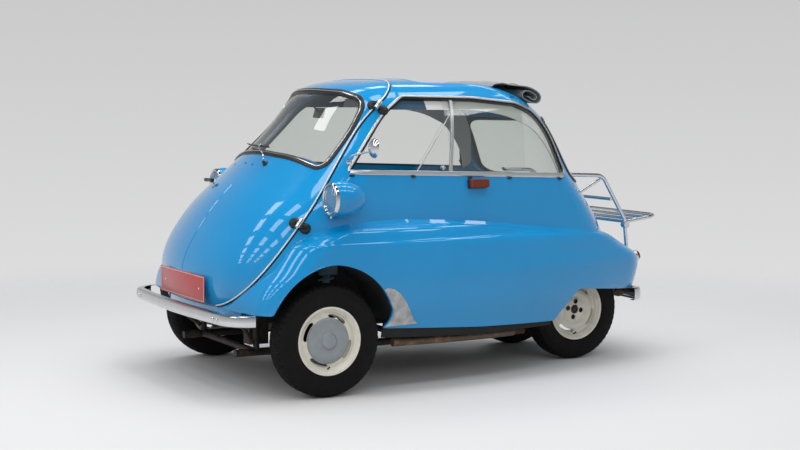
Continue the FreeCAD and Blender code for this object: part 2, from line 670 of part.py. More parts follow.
rear_parts = []
rear_tyre_parts = []
for name, side in (("left", 1), ("right", -1)):
    hub = ("front_axle_x - wheelbase", "%d * rear_track / 2" % side, "tyre_radius")
    rear_parts.append(revolved(name + "_rear_rim", REAR_RIM, hub, side, False))
    rear_tyre_parts.append(revolved(name + "_rear_tyre", TYRE, hub, side, False))
ALONG_Y = ((1, 0, 0), -90)
rear_parts.append(primitive(
    "Cylinder", "rear_shaft", ("front_axle_x - wheelbase", "-rear_track / 2 - 34", "tyre_radius"),
    ALONG_Y, Radius="rear_shaft_radius", Height="rear_track + 68"))
fused("rear_wheel_set", rear_parts)
rear_tyres = doc.addObject("Part::Compound", "rear_tyres")
rear_tyres.Links = rear_tyre_parts
rear_tyres.Label = "rear_tyres"
NODES.append(rear_tyres)

# ---------------------------------------------------------------- front axle and knuckles
PIN_Y = "(front_track / 2 - king_pin_inset)"
for name, side in (("left", 1), ("right", -1)):
    y = "%d * %s" % (side, PIN_Y)
    barrel = primitive(
        "Cylinder", name + "_barrel", ("front_axle_x", y, "tyre_radius - knuckle_height / 2"),
        Radius="knuckle_radius", Height="knuckle_height")
    bore = primitive(
        "Cylinder", name + "_bore", ("front_axle_x", y, "tyre_radius - knuckle_height"),
        Radius="king_pin_radius + pin_play", Height="2 * knuckle_height")
    turn = ((1, 0, 0), -90 * side)
    stub = primitive(
        "Cylinder", name + "_stub", ("front_axle_x", y, "tyre_radius"), turn,
        Radius="stub_radius", Height="king_pin_inset + 5")
    plate = primitive(
        "Cylinder", name + "_backplate",
        ("front_axle_x", y + " + %d * (king_pin_inset - drum_depth - joint_gap - 4)" % side,
         "tyre_radius"), turn, Radius="drum_radius + 3", Height="4")
    steer_arm = primitive(
        "Box", name + "_steering_arm",
        ("front_axle_x - 120", y + " - 9", "tyre_radius - 50"),
        Length="120", Width="18", Height="14")
    whole = fused(name + "_knuckle_solid", [barrel, stub, plate, steer_arm], False)
    knuckle = doc.addObject("Part::Cut", name + "_knuckle")
    knuckle.Base, knuckle.Tool = whole, bore
    knuckle.Label = name + "_knuckle"
    NODES.append(knuckle)

axle_parts = [primitive(
    "Cylinder", "axle_tube",
    ("front_axle_x", "-(front_track / 2 - king_pin_inset - knuckle_radius - 12)", "tyre_radius"),
    ALONG_Y, Radius="axle_tube_radius",
    Height="2 * (front_track / 2 - king_pin_inset - knuckle_radius - 12)")]
for name, side in (("left", 1), ("right", -1)):
    y = "%d * %s" % (side, PIN_Y)
    axle_parts.append(primitive(
        "Cylinder", name + "_pin", ("front_axle_x", y, "tyre_radius - knuckle_height / 2 - 18"),
        Radius="king_pin_radius", Height="knuckle_height + 36"))
    web_y = "front_track / 2 - king_pin_inset - knuckle_radius - 30" if side > 0 else \
        "-(front_track / 2 - king_pin_inset - knuckle_radius - 12)"
    axle_parts.append(primitive(
        "Box", name + "_web", ("front_axle_x - 24", web_y, "tyre_radius - knuckle_height / 2 - 18"),
        Length="48", Width="18", Height="knuckle_height + 36"))
    lug_y = "front_track / 2 - king_pin_inset - knuckle_radius - 14" if side > 0 else \
        "-(front_track / 2 - king_pin_inset + 14)"
    for spot, z in (("top", "tyre_radius + knuckle_height / 2 + 1"),
                    ("bottom", "tyre_radius - knuckle_height / 2 - 1 - 17")):
        axle_parts.append(primitive(
            "Box", name + "_lug_" + spot, ("front_axle_x - 20", lug_y, z),
            Length="40", Width="knuckle_radius + 28", Height="17"))
fused("front_axle", axle_parts)

# ---------------------------------------------------------------- frame, rear axle, engine
TUBE_ALONG_X = ((0, 1, 0), 90)
frame_parts = []
for name, side in (("left", 1), ("right", -1)):
    y = "%d * rail_spacing / 2" % side
    frame_parts.append(primitive(
        "Cylinder", name + "_rail", ("front_axle_x - wheelbase + 300", y, "rail_height"),
        TUBE_ALONG_X, Radius="rail_radius", Height="wheelbase - 20"))
    for spot, x in (("front", "front_axle_x + 180"), ("middle", "front_axle_x - 620"),
                    ("rear", "front_axle_x - 960")):
        frame_parts.append(primitive(
            "Cylinder", name + "_post_" + spot, (x, y, "rail_height"),
            Radius="rail_radius - 3", Height="floor_height - rail_height"))
    frame_parts.append(primitive(
        "Box", name + "_axle_hanger",
        ("front_axle_x - 25", y + " - 8", "rail_height"),
        Length="50", Width="16", Height="tyre_radius - axle_tube_radius - rail_height"))
for spot, x in (("front", "front_axle_x + 180"), ("middle", "front_axle_x - 620"),
                ("rear", "front_axle_x - 1180")):
    frame_parts.append(primitive(
        "Cylinder", "cross_" + spot, (x, "-rail_spacing / 2", "rail_height"), ALONG_Y,
        Radius="rail_radius - 2", Height="rail_spacing"))
fused("chassis_frame", frame_parts)

casing_half = "(rear_track / 2 - tyre_width / 2 - joint_gap)"
casing = primitive(
    "Cylinder", "axle_casing", ("front_axle_x - wheelbase", "-" + casing_half, "tyre_radius"),
    ALONG_Y, Radius="casing_radius", Height="2 * " + casing_half)
chain_box = primitive(
    "Box", "chain_box", ("front_axle_x - wheelbase", "-45", "tyre_radius - 75"),
    Length="296", Width="90", Height="150")
chain_end = primitive(
    "Cylinder", "chain_end", ("front_axle_x - wheelbase", "-45", "tyre_radius"), ALONG_Y,
    Radius="75", Height="90")
springs = []
for name, side in (("left", 1), ("right", -1)):
    y = "%d * 130 - 22" % side
    springs.append(primitive(
        "Box", name + "_spring", ("front_axle_x - wheelbase - 12", y, "tyre_radius - 82"),
        Length="332 - rail_radius + 2", Width="44", Height="14"))
    springs.append(primitive(
        "Box", name + "_spring_seat", ("front_axle_x - wheelbase - 25", y, "tyre_radius - 68"),
        Length="50", Width="44", Height="60"))
casing_solid = fused("casing_solid", [casing, chain_box, chain_end] + springs, False)
shaft_bore = primitive(
    "Cylinder", "shaft_bore", ("front_axle_x - wheelbase", "-rear_track", "tyre_radius"), ALONG_Y,
    Radius="rear_shaft_radius + pin_play", Height="2 * rear_track")
rear_axle_casing = doc.addObject("Part::Cut", "rear_axle_casing")
rear_axle_casing.Base, rear_axle_casing.Tool = casing_solid, shaft_bore
rear_axle_casing.Label = "rear_axle_casing"
NODES.append(rear_axle_casing)

engine = primitive(
    "Box", "engine_block",
    ("front_axle_x - bulkhead_x - 25 - engine_length", "-80 - engine_width",
     "rail_height + rail_radius"),
    Length="engine_length", Width="engine_width", Height="engine_height")
engine.Label = "engine_block"
NODES.append(engine)

silencer = primitive(
    "Cylinder", "silencer", ("front_axle_x - wheelbase - 305", "-180", "tyre_radius + 78"),
    ALONG_Y, Radius="40", Height="420")
pipe = primitive(
    "Cylinder", "exhaust_pipe", ("front_axle_x - wheelbase - 300", "-76", "tyre_radius + 60"),
    TUBE_ALONG_X, Radius="14", Height="wheelbase - bulkhead_x - 25 - engine_length + 310")
exhaust_raw = fused("exhaust_raw", [silencer, pipe], False)
engine_tool = primitive(
    "Box", "engine_space",
    ("front_axle_x - bulkhead_x - 25 - engine_length", "-80 - engine_width",
     "rail_height + rail_radius"),
    Length="engine_length", Width="engine_width", Height="engine_height")
exhaust = doc.addObject("Part::Cut", "exhaust")
exhaust.Base, exhaust.Tool = exhaust_raw, engine_tool
exhaust.Label = "exhaust"
NODES.append(exhaust)

# ---------------------------------------------------------------- seat and controls
seat = Part.makeBox(430, S["seat_width"], 165,
                    Vector(sx(-900), -S["seat_width"] / 2, sz(455) + S["seat_gap"]))
seat = seat.makeFillet(40, seat.Edges)
seat_cushion = feature("seat_cushion", seat)
back_width = S["seat_width"] - 80
back_solid = Part.makeBox(95, back_width, 270, Vector(-95, 0, 0))
back_solid = back_solid.makeFillet(32, back_solid.Edges)
back_solid.Placement = Placement(Vector(sx(-790), -back_width / 2, sz(455) + 155),
                                 Rotation(Vector(0, 1, 0), -14))
seat.translate(Vector(0, 0, S["seat_gap"]))
seat_back = feature("seat_back", largest(back_solid.cut(seat)))

COLUMN_FOOT = at(128, 250, 366)
COLUMN_TOP = at(-322, 250, 748)
COLUMN_DIR = (COLUMN_TOP - COLUMN_FOOT).normalize()


column = rod(COLUMN_FOOT, COLUMN_TOP - COLUMN_DIR * 40, S["column_radius"])
shaft = rod(COLUMN_TOP - COLUMN_DIR * 60, COLUMN_TOP - COLUMN_DIR * 22, 8)
strut_low = COLUMN_FOOT + COLUMN_DIR * 400
strut_top = Vector(nose(CABIN, 800, sy(250)) - 20, sy(250), sz(800))
brace = rod(strut_low, strut_top, 10).common(door_cavity)
steering_column = feature("steering_column", joined([column, shaft, brace]))

wheel_parts = [Part.makeTorus(S["wheel_rim_radius"], S["wheel_tube"])]
wheel_parts.append(Part.makeCylinder(30, 34, Vector(0, 0, -26)))
for angle in (90, 210, 330):
    spoke = Part.makeCylinder(6, S["wheel_rim_radius"] - 4, Vector(0, 0, -6), Vector(1, 0, 0))
    spoke.rotate(Vector(), Vector(0, 0, 1), angle)
    wheel_parts.append(spoke)
wheel_parts = [joined(wheel_parts).cut(Part.makeCylinder(8.5, 18, Vector(0, 0, -26)))]
steering = wheel_parts[0]
steering.Placement = Placement(COLUMN_TOP, Rotation(Vector(0, 0, 1), COLUMN_DIR))
steering_wheel = feature("steering_wheel", steering)

box_at = at(160, 250, 0)
gear_box = block(box_at.x - 45, box_at.x + 45, box_at.y - 30, box_at.y + 34,
                 S["rail_height"] + 30, S["floor_height"] - 0.3)
stub_shaft = rod(Vector(box_at.x - 10, box_at.y, S["floor_height"] - 10),
                 COLUMN_FOOT - COLUMN_DIR * 18, 12)
steering_box = feature("steering_box", joined([gear_box, stub_shaft]))

lever_base = skin(CABIN, -430, 650) - S["cabin_wall"]
gear_lever = joined([
    block(sx(-500), sx(-360), lever_base - 24, lever_base + 20, sz(640), sz(700)),
    rod(Vector(sx(-430), lever_base - 34, sz(670)), Vector(sx(-400), lever_base - 46, sz(800)), 6),
    Part.makeSphere(17, Vector(sx(-400), lever_base - 46, sz(812))),
    rod(Vector(sx(-430), lever_base - 10, sz(670)), Vector(sx(-430), lever_base - 42, sz(670)), 9),
]).common(egg_cavity)
brake_foot = Vector(sx(-440), box_y + 30, floor_top)
hand_brake = joined([
    block(brake_foot.x - 40, brake_foot.x + 40, brake_foot.y - 12, brake_foot.y + 12,
          floor_top, floor_top + 40),
    rod(brake_foot + Vector(0, 0, 30), brake_foot + Vector(120, 0, 230), 8),
])
pedals = []
for y, width in ((340, 50), (165, 50), (95, 40)):
    foot = Vector(sx(10), sy(y), floor_top)
    head = foot + Vector(65, 0, 105)
    pedal = rod(foot - Vector(0, 0, 2), head, 7)
    pad = Part.makeBox(10, width, 60, Vector(-5, -width / 2, -30))
    pad.Placement = Placement(head, Rotation(Vector(0, 1, 0), -30))
    pedals.append(pedal.fuse(pad).cut(block(-2000, 2000, -900, 900, 0, floor_top)))
controls = feature("controls", Part.makeCompound([gear_lever, hand_brake] + pedals))

DASH = [(-30, 846), (300, 846), (300, 884), (-30, 884)]
dash_space = loft(CABIN, S["door_wall"] + S["seat_gap"], 60)
dash_shape = side_prism(DASH, None, -sy(395), sy(395)).common(dash_space)
pod = Part.makeCylinder(58, 90, at(-52, 250, 905), Vector(1, 0, 0.1))
dash_panel = feature("dash_panel", joined([dash_shape, pod.common(dash_space)]))

# ---------------------------------------------------------------- door hinges
HINGES = [(93, 735), (-352, 1229)]
OUTWARD = Vector(0.485, 0.875, 0.0)
pins = []
for x, z in HINGES:
    foot = Vector(sx(x), skin(CABIN, x, z), sz(z))
    pins.append(foot + OUTWARD * S["hinge_offset"])
HINGE_AXIS = (pins[1] - pins[0]).normalize()
N_DIR = (OUTWARD - HINGE_AXIS * OUTWARD.dot(HINGE_AXIS)).normalize()
D_DIR = N_DIR.cross(HINGE_AXIS)
posts, arms = [], []
solid_body = egg.fuse(lower)
for pin in pins:
    frame = Placement(pin, Rotation(D_DIR, N_DIR, HINGE_AXIS, "XYZ"))
    post = joined([
        Part.makeCylinder(11, 20, Vector(0, 0, -21)),
        Part.makeCylinder(S["hinge_pin_radius"], 42, Vector(0, 0, -21)),
        Part.makeBox(38, 14, 18, Vector(-38, -7, -20)),
        Part.makeCylinder(18, 110, Vector(-38, 8, -11), Vector(0, -1, 0)),
    ])
    arm = joined([
        Part.makeCylinder(11, 20, Vector(0, 0, 1)),
        Part.makeBox(38, 14, 18, Vector(0, -7, 2)),
        Part.makeCylinder(18, 110, Vector(38, 8, 11), Vector(0, -1, 0)),
    ]).cut(Part.makeCylinder(S["hinge_pin_radius"] + S["pin_play"], 60, Vector(0, 0, -20)))
    post.Placement = frame
    arm.Placement = frame
    posts.append(largest(post.cut(egg).cut(lower)))
    arms.append(largest(arm.cut(egg)))
hinge_posts = feature("hinge_posts", Part.makeCompound(posts))
hinge_arms = feature("hinge_arms", Part.makeCompound(arms))

# ---------------------------------------------------------------- lamps and small fittings
LAMP = [(0, 0), (0, 58), (-5, 66), (-8, 75), (-24, 75), (-28, 71), (-80, 68), (-130, 56),
        (-175, 38), (-205, 18), (-217, 0)]
lamps = []
lamp_x, lamp_z = -14, 834
lamp_y = skin(CABIN, lamp_x - 60, lamp_z) + 52
scale_r = S["lamp_radius"] / 75.0
for side in (1, -1):
    profile = chain([Vector(x, r * scale_r, 0) for x, r in LAMP])
    lamp = Part.Face(profile).revolve(Vector(), Vector(1, 0, 0), 360)
    lamp.Placement = Placement(Vector(sx(lamp_x), side * lamp_y, sz(lamp_z)), Rotation())
    lamps.append(largest(lamp.cut(egg)))
headlights = feature("headlights", Part.makeCompound(lamps))

flashers = []
for side in (1, -1):
    y = skin(CABIN, -806, 876)
    y0, y1 = sorted((side * (y - 40), side * (y + 30)))
    flasher = block(sx(-864), sx(-748), y0, y1, sz(857), sz(895))
    flasher = flasher.makeFillet(9, flasher.Edges)
    flashers.append(largest(flasher.cut(egg)))
side_lamps = feature("side_lamps", Part.makeCompound(flashers))

tail_lamp_list = []
for side in (1, -1):
    y = side * sy(300)
    face = Section(row_at(LOWER, 470))
    x = face.tail[0] - math.sqrt(face.tail_r ** 2 - y * y)
    lens = Part.makeCylinder(27, 60, Vector(x + 40, y, sz(474)), Vector(-1, 0, 0))
    lens = lens.makeFillet(6, [e for e in lens.Edges if e.BoundBox.XMax < x])
    tail_lamp_list.append(largest(lens.cut(lower)))
tail_lamps = feature("tail_lamps", Part.makeCompound(tail_lamp_list))

mirror_foot = at(-161, 0, 981)
mirror_foot.y = skin(CABIN, -161, 981)
mirror_head = mirror_foot + Vector(-74, 66, 62)
mirror = joined([
    Part.makeCylinder(15, 40, mirror_foot + Vector(0, 6, 0), Vector(0, -1, 0)),
    rod(mirror_foot + Vector(0, 2, 0), mirror_foot + Vector(-30, 52, 14), 5),
    rod(mirror_foot + Vector(-30, 52, 14), mirror_head, 5),
    Part.makeSphere(5, mirror_foot + Vector(-30, 52, 14)),
    Part.makeCylinder(52, 10, mirror_head + Vector(5, -2, 0), Vector(-1, 0.25, 0)),
])
wing_mirror = feature("wing_mirror", largest(mirror.cut(egg)))

pivot = Vector(nose(CABIN, 962, sy(115)), sy(115), sz(962))
tip = Vector(nose(CABIN, 1012, sy(-10)) + 9, sy(-10), sz(1016))
blade_end = Vector(nose(CABIN, 1014, sy(-290)) + 7, sy(-290), sz(1012))
blade_near = Vector(nose(CABIN, 1014, sy(60)) + 7, sy(60), sz(1018))
knee = pivot + Vector(20, -10, 16)
wiper_shape = joined([
    Part.makeCylinder(11, 40, pivot + Vector(9, 0, 7), Vector(-1, 0, -0.75)),
    rod(pivot + Vector(8, 0, 6), knee, 4.5), Part.makeSphere(4.5, knee),
    rod(knee, tip, 4.5), Part.makeSphere(5.5, tip),
    rod(blade_near, tip, 5.5), rod(tip, blade_end, 5.5),
])
wiper = feature("wiper", largest(wiper_shape.cut(egg)))

handle_y = sy(-300)
handle_at = Vector(nose(CABIN, 862, handle_y), handle_y, sz(862))
grip = handle_at + Vector(40, -14, 26)
handle_shape = joined([
    Part.makeCylinder(19, 40, handle_at + Vector(6, -2, 4), Vector(-1, 0.3, -0.7)),
    rod(handle_at, grip, 8), Part.makeSphere(9, grip),
    rod(grip, grip + Vector(-26, -62, -4), 9), rod(grip, grip + Vector(10, 26, 2), 9),
    Part.makeSphere(9, grip + Vector(-26, -62, -4)), Part.makeSphere(9, grip + Vector(10, 26, 2)),
])
door_handle = feature("door_handle", largest(handle_shape.cut(egg)))

# ---------------------------------------------------------------- bumpers and plates
BUMPER = (361, 458, 5200, 150, 622, 0.0, 0, 100, 1500, -1200)
BUMPER_BOTTOM, BUMPER_TOP, BUMPER_DEPTH, BUMPER_WALL = 312.0, 361.0, 34.0, 3.0


def ring(row, z0, z1, outer, inner):
    """Band between two insets of a section, from z0 to z1."""
    tall = Vector(0, 0, z1 - z0)
    a, b = Section(row, outer).wire(), Section(row, inner).wire()
    shapes = []
    for wire in (a, b):
        solid = Part.Face(wire).extrude(tall)
        solid.translate(Vector(0, 0, z0 - wire.BoundBox.ZMin))
        shapes.append(solid)
    return shapes[0].cut(shapes[1])


bumper = ring(BUMPER, BUMPER_BOTTOM, BUMPER_TOP, 0, BUMPER_DEPTH)
bumper = bumper.cut(ring(BUMPER, BUMPER_BOTTOM + BUMPER_WALL, BUMPER_TOP - BUMPER_WALL,
                         BUMPER_WALL, BUMPER_DEPTH + 10))
bumper = bumper.common(block(sx(318), sx(900), -900, 900, 0, 900))
brackets = []
for y in (-250, 250):
    bar = block(sx(250), sx(458), sy(y) - 20, sy(y) + 20, 318, 322)
    face = block(sx(458) - 18, sx(458) - 14, sy(y) - 20, sy(y) + 20, 318, 352)
    brackets.append(bar.fuse(face).cut(lower))
inside_bumper = Part.Face(Section(BUMPER, BUMPER_WALL).wire()).extrude(Vector(0, 0, 60))
inside_bumper.translate(Vector(0, 0, 310 - inside_bumper.BoundBox.ZMin))
brackets = [b.common(inside_bumper) for b in brackets]
front_bumper = feature("front_bumper", joined([bumper] + brackets))

REAR_BAR = (300, 100, 600, 100, 372, 0.0, 0, 70, 2600, -1936)
rear_bar = ring(REAR_BAR, 272, 335, 0, 30)
rear_bar = rear_bar.cut(ring(REAR_BAR, 275, 332, 3, 40))
rear_bar = rear_bar.common(block(sx(-2200), sx(-1842), -900, 900, 0, 900))
rear_stays = [block(sx(-1934), sx(-1860), sy(y) - 18, sy(y) + 18, 302, 345).cut(lower)
              for y in (-180, 180)]
rear_bumper = feature("rear_bumper", joined([rear_bar] + rear_stays))

plate_z = 378.0
plate_x = nose(CABIN, 495) + 0.3
front_plate = primitive(
    "Box", "front_plate", ("%.4f" % plate_x, "-plate_width / 2", "%.4f" % sz(plate_z)),
    Length="plate_wall", Width="plate_width", Height="plate_height")
front_plate.Label = "front_plate"
NODES.append(front_plate)

# ---------------------------------------------------------------- rack, roof roll, guards
RACK_Y = 300.0
R = S["rack_tube"]


def bent(points, radii, radius):
    """Round tube along straight runs joined by tangent arcs."""
    edges = []
    start = points[0]
    for i in range(1, len(points) - 1):
        corner, bend = points[i], radii[i - 1]
        u = (points[i - 1] - corner).normalize()
        v = (points[i + 1] - corner).normalize()
        half = u.getAngle(v) / 2
        a, b = corner + u * (bend / math.tan(half)), corner + v * (bend / math.tan(half))
        middle = corner + (u + v).normalize() * (bend / math.sin(half) - bend)
        edges.append(Part.LineSegment(start, a).toShape())
        edges.append(Part.Arc(a, middle, b).toShape())
        start = b
    edges.append(Part.LineSegment(start, points[-1]).toShape())
    path = Part.Wire(edges)
    circle = Part.Wire(Part.makeCircle(radius, points[0], points[1] - points[0]))
    return path.makePipeShell([circle], True, False)


rack_parts = []
for side in (1, -1):
    y = side * RACK_Y
    rack_parts.append(bent([at(-1440, y, 893), at(-1650, y, 884), at(-1786, y, 668),
                            at(-1812, y * 0.97, 500)], [60 * KX, 40 * KX], R))
    rack_parts.append(rod(at(-1645, y * 0.97, 868), at(-1500, y * 0.8, 770), R - 1))
    rack_parts.append(rod(at(-1792, y - side * 16, 640), at(-1792, y + side * 14, 640), 16))
loop_pts = [at(-1792, RACK_Y, 655), at(-1990, RACK_Y, 680), at(-1990, -RACK_Y, 680),
            at(-1792, -RACK_Y, 655)]
rack_parts.append(bent(loop_pts, [60 * KX, 60 * KX], R))
for x, z in ((-1792, 655), (-1858, 663), (-1924, 671), (-1705, 768)):
    rack_parts.append(rod(at(x, -RACK_Y, z), at(x, RACK_Y, z), R - 1.5))
rack = joined(rack_parts).cut(egg).cut(lower)
luggage_rack = feature("luggage_rack", largest(rack))

ROLL = [(-1010, 1300), (-1010, 1326), (-1072, 1338), (-1160, 1326), (-1235, 1318),
        (-1288, 1288), (-1290, 1258), (-1270, 1236), (-1200, 1200)]
roll = side_prism(ROLL, [0, 8, 20, 60, 40, 20, 20, 10, 0], -hole_y - 6, hole_y + 6)
sunroof_roll = feature("sunroof_roll", largest(roll.cut(loft(CABIN, -S["seat_gap"]))))

# ---------------------------------------------------------------- checks and export
doc.removeObject("Scratch")
doc.recompute()
for obj in doc.Objects:
    bad = [state for state in obj.State if state in ("Invalid", "Error")]
    if bad:
        raise RuntimeError("%s is %s" % (obj.Label, bad))
for node in NODES:
    if node.Shape.isNull() or not node.Shape.isValid():
        raise RuntimeError("%s has no valid shape" % node.Label)
os.makedirs("parts", exist_ok=True)
for node in NODES:
    node.Shape.exportStep("parts/%s.step" % node.Label)
    print("%-22s %2d solids %10.0f cm3" % (node.Label, len(node.Shape.Solids),
                                           node.Shape.Volume / 1000))
total = Part.makeCompound([node.Shape for node in NODES]).BoundBox
print("box", [round(v, 1) for v in (total.XMin, total.XMax, total.YMin, total.YMax,
                                    total.ZMin, total.ZMax)])
print("hinge", [tuple(round(v, 2) for v in p) for p in pins + [HINGE_AXIS]])
print("lid", [tuple(round(v, 4) for v in p) for p in (LID_PIN, LID_DIR)])
print("column", [tuple(round(v, 2) for v in p) for p in (COLUMN_TOP, COLUMN_DIR)])
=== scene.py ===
"""Looks of a small bubble car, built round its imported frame."""
import logging
import math
from dataclasses import dataclass
from enum import Enum
from typing import Callable, Sequence

import bmesh
import bpy
import numpy as np
from mathutils import Matrix, Vector
from mathutils.bvhtree import BVHTree


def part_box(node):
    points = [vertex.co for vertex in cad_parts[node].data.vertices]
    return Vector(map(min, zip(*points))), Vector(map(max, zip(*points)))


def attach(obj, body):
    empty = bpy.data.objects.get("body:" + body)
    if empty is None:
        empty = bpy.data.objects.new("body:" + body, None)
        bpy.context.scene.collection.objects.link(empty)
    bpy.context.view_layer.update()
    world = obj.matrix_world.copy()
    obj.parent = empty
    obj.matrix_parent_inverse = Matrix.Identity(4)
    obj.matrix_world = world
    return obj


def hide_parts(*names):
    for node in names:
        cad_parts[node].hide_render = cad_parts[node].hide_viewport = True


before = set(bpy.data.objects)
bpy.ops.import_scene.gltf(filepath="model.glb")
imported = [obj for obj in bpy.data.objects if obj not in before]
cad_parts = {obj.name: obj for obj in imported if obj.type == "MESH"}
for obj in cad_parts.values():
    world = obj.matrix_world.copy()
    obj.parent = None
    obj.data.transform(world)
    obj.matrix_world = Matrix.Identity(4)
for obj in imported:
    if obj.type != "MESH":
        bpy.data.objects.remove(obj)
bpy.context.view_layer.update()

MM = 0.001
AXLE = sum(corner.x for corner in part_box("left_front_tyre")) / 2
OUTER, INNER, EDGE = 0, 1, 2  # material numbers: outer face, inner face, cut edge
log = logging.getLogger("bubble_car")

Piece = bpy.types.Object
Tree = bpy.types.NodeTree
Socket = bpy.types.NodeSocket
Outline = Sequence[tuple[float, float]]


def at(x: float, y: float, z: float) -> Vector:
    """Point in metres from millimetres behind the front axle, across and up."""
    return Vector((AXLE + x * MM, y * MM, z * MM))


# ------------------------------------------------------------------ finishes
def linear(code: str) -> tuple[float, float, float, float]:
    """Linear colour of an sRGB hex code.

    Args:
        code: six hex digits, with or without a leading hash.

    Returns:
        Red, green and blue in linear light, and an alpha of 1.
    """
    parts = [int(code.lstrip("#")[i:i + 2], 16) / 255 for i in (0, 2, 4)]
    light = [c / 12.92 if c <= 0.04045 else ((c + 0.055) / 1.055) ** 2.4 for c in parts]
    return (light[0], light[1], light[2], 1.0)


def add_node(tree: Tree, kind: str, inputs: dict | None = None,
             **settings: object) -> bpy.types.Node:
    """Adds a node, with its settings, its input values and its links.

    Args:
        tree: node tree that gets the node.
        kind: the node's type name.
        inputs: input name or number to a value, or to a socket that is linked to it.
        settings: the node's own properties.

    Returns:
        The new node.
    """
    made = tree.nodes.new(kind)
    for name, value in settings.items():
        setattr(made, name, value)
    for key, value in (inputs or {}).items():
        if isinstance(value, Socket):
            tree.links.new(value, made.inputs[key])
        else:
            made.inputs[key].default_value = value
    return made


def per_mm(size: float) -> float:
    """Texture scale for a pattern whose feature is this many millimetres."""
    return 1000.0 / size


def new_material(name: str) -> tuple[bpy.types.Material, Tree]:
    """Node material with no nodes yet, and its node tree."""
    made = bpy.data.materials.new(name)
    made.use_nodes = True
    made.node_tree.nodes.clear()
    return made, made.node_tree


def mixed_colour(tree: Tree, share: Socket, first: object, second: object) -> Socket:
    """Colour between two colours, each a value or a socket."""
    node = add_node(tree, "ShaderNodeMix", {"Factor": share, "A": first, "B": second},
                    data_type="RGBA")
    return next(s for s in node.outputs if s.type == "RGBA")


@dataclass(frozen=True)
class Finish:
    """One finish: its base colour, gloss and the fine relief that the real one has."""

    name: str
    colour: str
    rough: float = 0.5
    metal: float = 0.0
    coat: float = 0.0
    coat_rough: float = 0.03
    tone: str = ""
    tone_mm: float = 300.0
    tone_share: float = 0.5
    relief_mm: float = 2.0
    relief: float = 0.0
    rough_swing: float = 0.0
    sheen: float = 0.0
    ior: float = 1.5

    def material(self) -> bpy.types.Material:
        """The finish as a node material, made once."""
        known = bpy.data.materials.get(self.name)
        if known:
            return known
        made, tree = new_material(self.name)
        place = add_node(tree, "ShaderNodeTexCoord").outputs["Object"]
        add_node(tree, "ShaderNodeOutputMaterial", {"Surface": self.surface(tree, place)})
        return made

    def surface(self, tree: Tree, place: Socket) -> Socket:
        """The finish's shader."""
        colour, rough = self.colouring(tree, place)
        inputs = {"Base Color": colour, "Roughness": rough, "Metallic": self.metal,
                  "Coat Weight": self.coat, "Coat Roughness": self.coat_rough,
                  "Sheen Weight": self.sheen}
        relief = self.bumps(tree, place)
        if not self.metal:
            inputs["IOR"] = self.ior
        if relief is not None:
            inputs["Normal"] = relief
        shader = add_node(tree, "ShaderNodeBsdfPrincipled", inputs)
        self.extra(tree, shader, place)
        return shader.outputs[0]

    def colouring(self, tree: Tree, place: Socket) -> tuple:
        """Colour and roughness, with a slow drift between two tones."""
        if not self.tone:
            return linear(self.colour), self.rough
        cloud = add_node(tree, "ShaderNodeTexNoise", {
            "Vector": place, "Scale": per_mm(self.tone_mm), "Detail": 5.0, "Roughness": 0.6})
        band = add_node(tree, "ShaderNodeMapRange", {
            "Value": cloud.outputs["Fac"], "From Min": 0.35, "From Max": 0.7,
            "To Min": 0.0, "To Max": self.tone_share})
        colour = mixed_colour(tree, band.outputs[0], linear(self.colour), linear(self.tone))
        swing = add_node(tree, "ShaderNodeMapRange", {
            "Value": cloud.outputs["Fac"], "From Min": 0.3, "From Max": 0.7,
            "To Min": max(self.rough - self.rough_swing, 0.02),
            "To Max": self.rough + self.rough_swing})
        return colour, swing.outputs[0]

    def bumps(self, tree: Tree, place: Socket) -> Socket | None:
        """Fine relief of the surface, or None."""
        if not self.relief:
            return None
        grain = add_node(tree, "ShaderNodeTexNoise", {
            "Vector": place, "Scale": per_mm(self.relief_mm), "Detail": 3.0})
        bump = add_node(tree, "ShaderNodeBump", {
            "Height": grain.outputs["Fac"], "Strength": self.relief,
            "Distance": 0.1 * self.relief_mm * MM})
        return bump.outputs["Normal"]

    def extra(self, tree: Tree, shader: bpy.types.Node, place: Socket) -> None:
        """What a special finish adds to its shader."""


@dataclass(frozen=True)
class Woven(Finish):
    """Cloth with a plain weave of threads."""

    thread_mm: float = 2.0
    depth: float = 0.5

    def bumps(self, tree: Tree, place: Socket) -> Socket:
        """Relief of warp and weft threads, broken up by a little slub."""
        ribs = []
        for axis in ("X", "Y", "Z"):
            wave = add_node(tree, "ShaderNodeTexWave", {
                "Vector": place, "Scale": per_mm(self.thread_mm) / 6.2832,
                "Distortion": 0.6, "Detail": 1.0}, bands_direction=axis)
            ribs.append(wave.outputs["Fac"])
        first = add_node(tree, "ShaderNodeMath", {0: ribs[0], 1: ribs[1]}, operation="ADD")
        total = add_node(tree, "ShaderNodeMath", {0: first.outputs[0], 1: ribs[2]},
                         operation="ADD")
        bump = add_node(tree, "ShaderNodeBump", {
            "Height": total.outputs[0], "Strength": self.depth,
            "Distance": 0.25 * self.thread_mm * MM})
        return bump.outputs["Normal"]


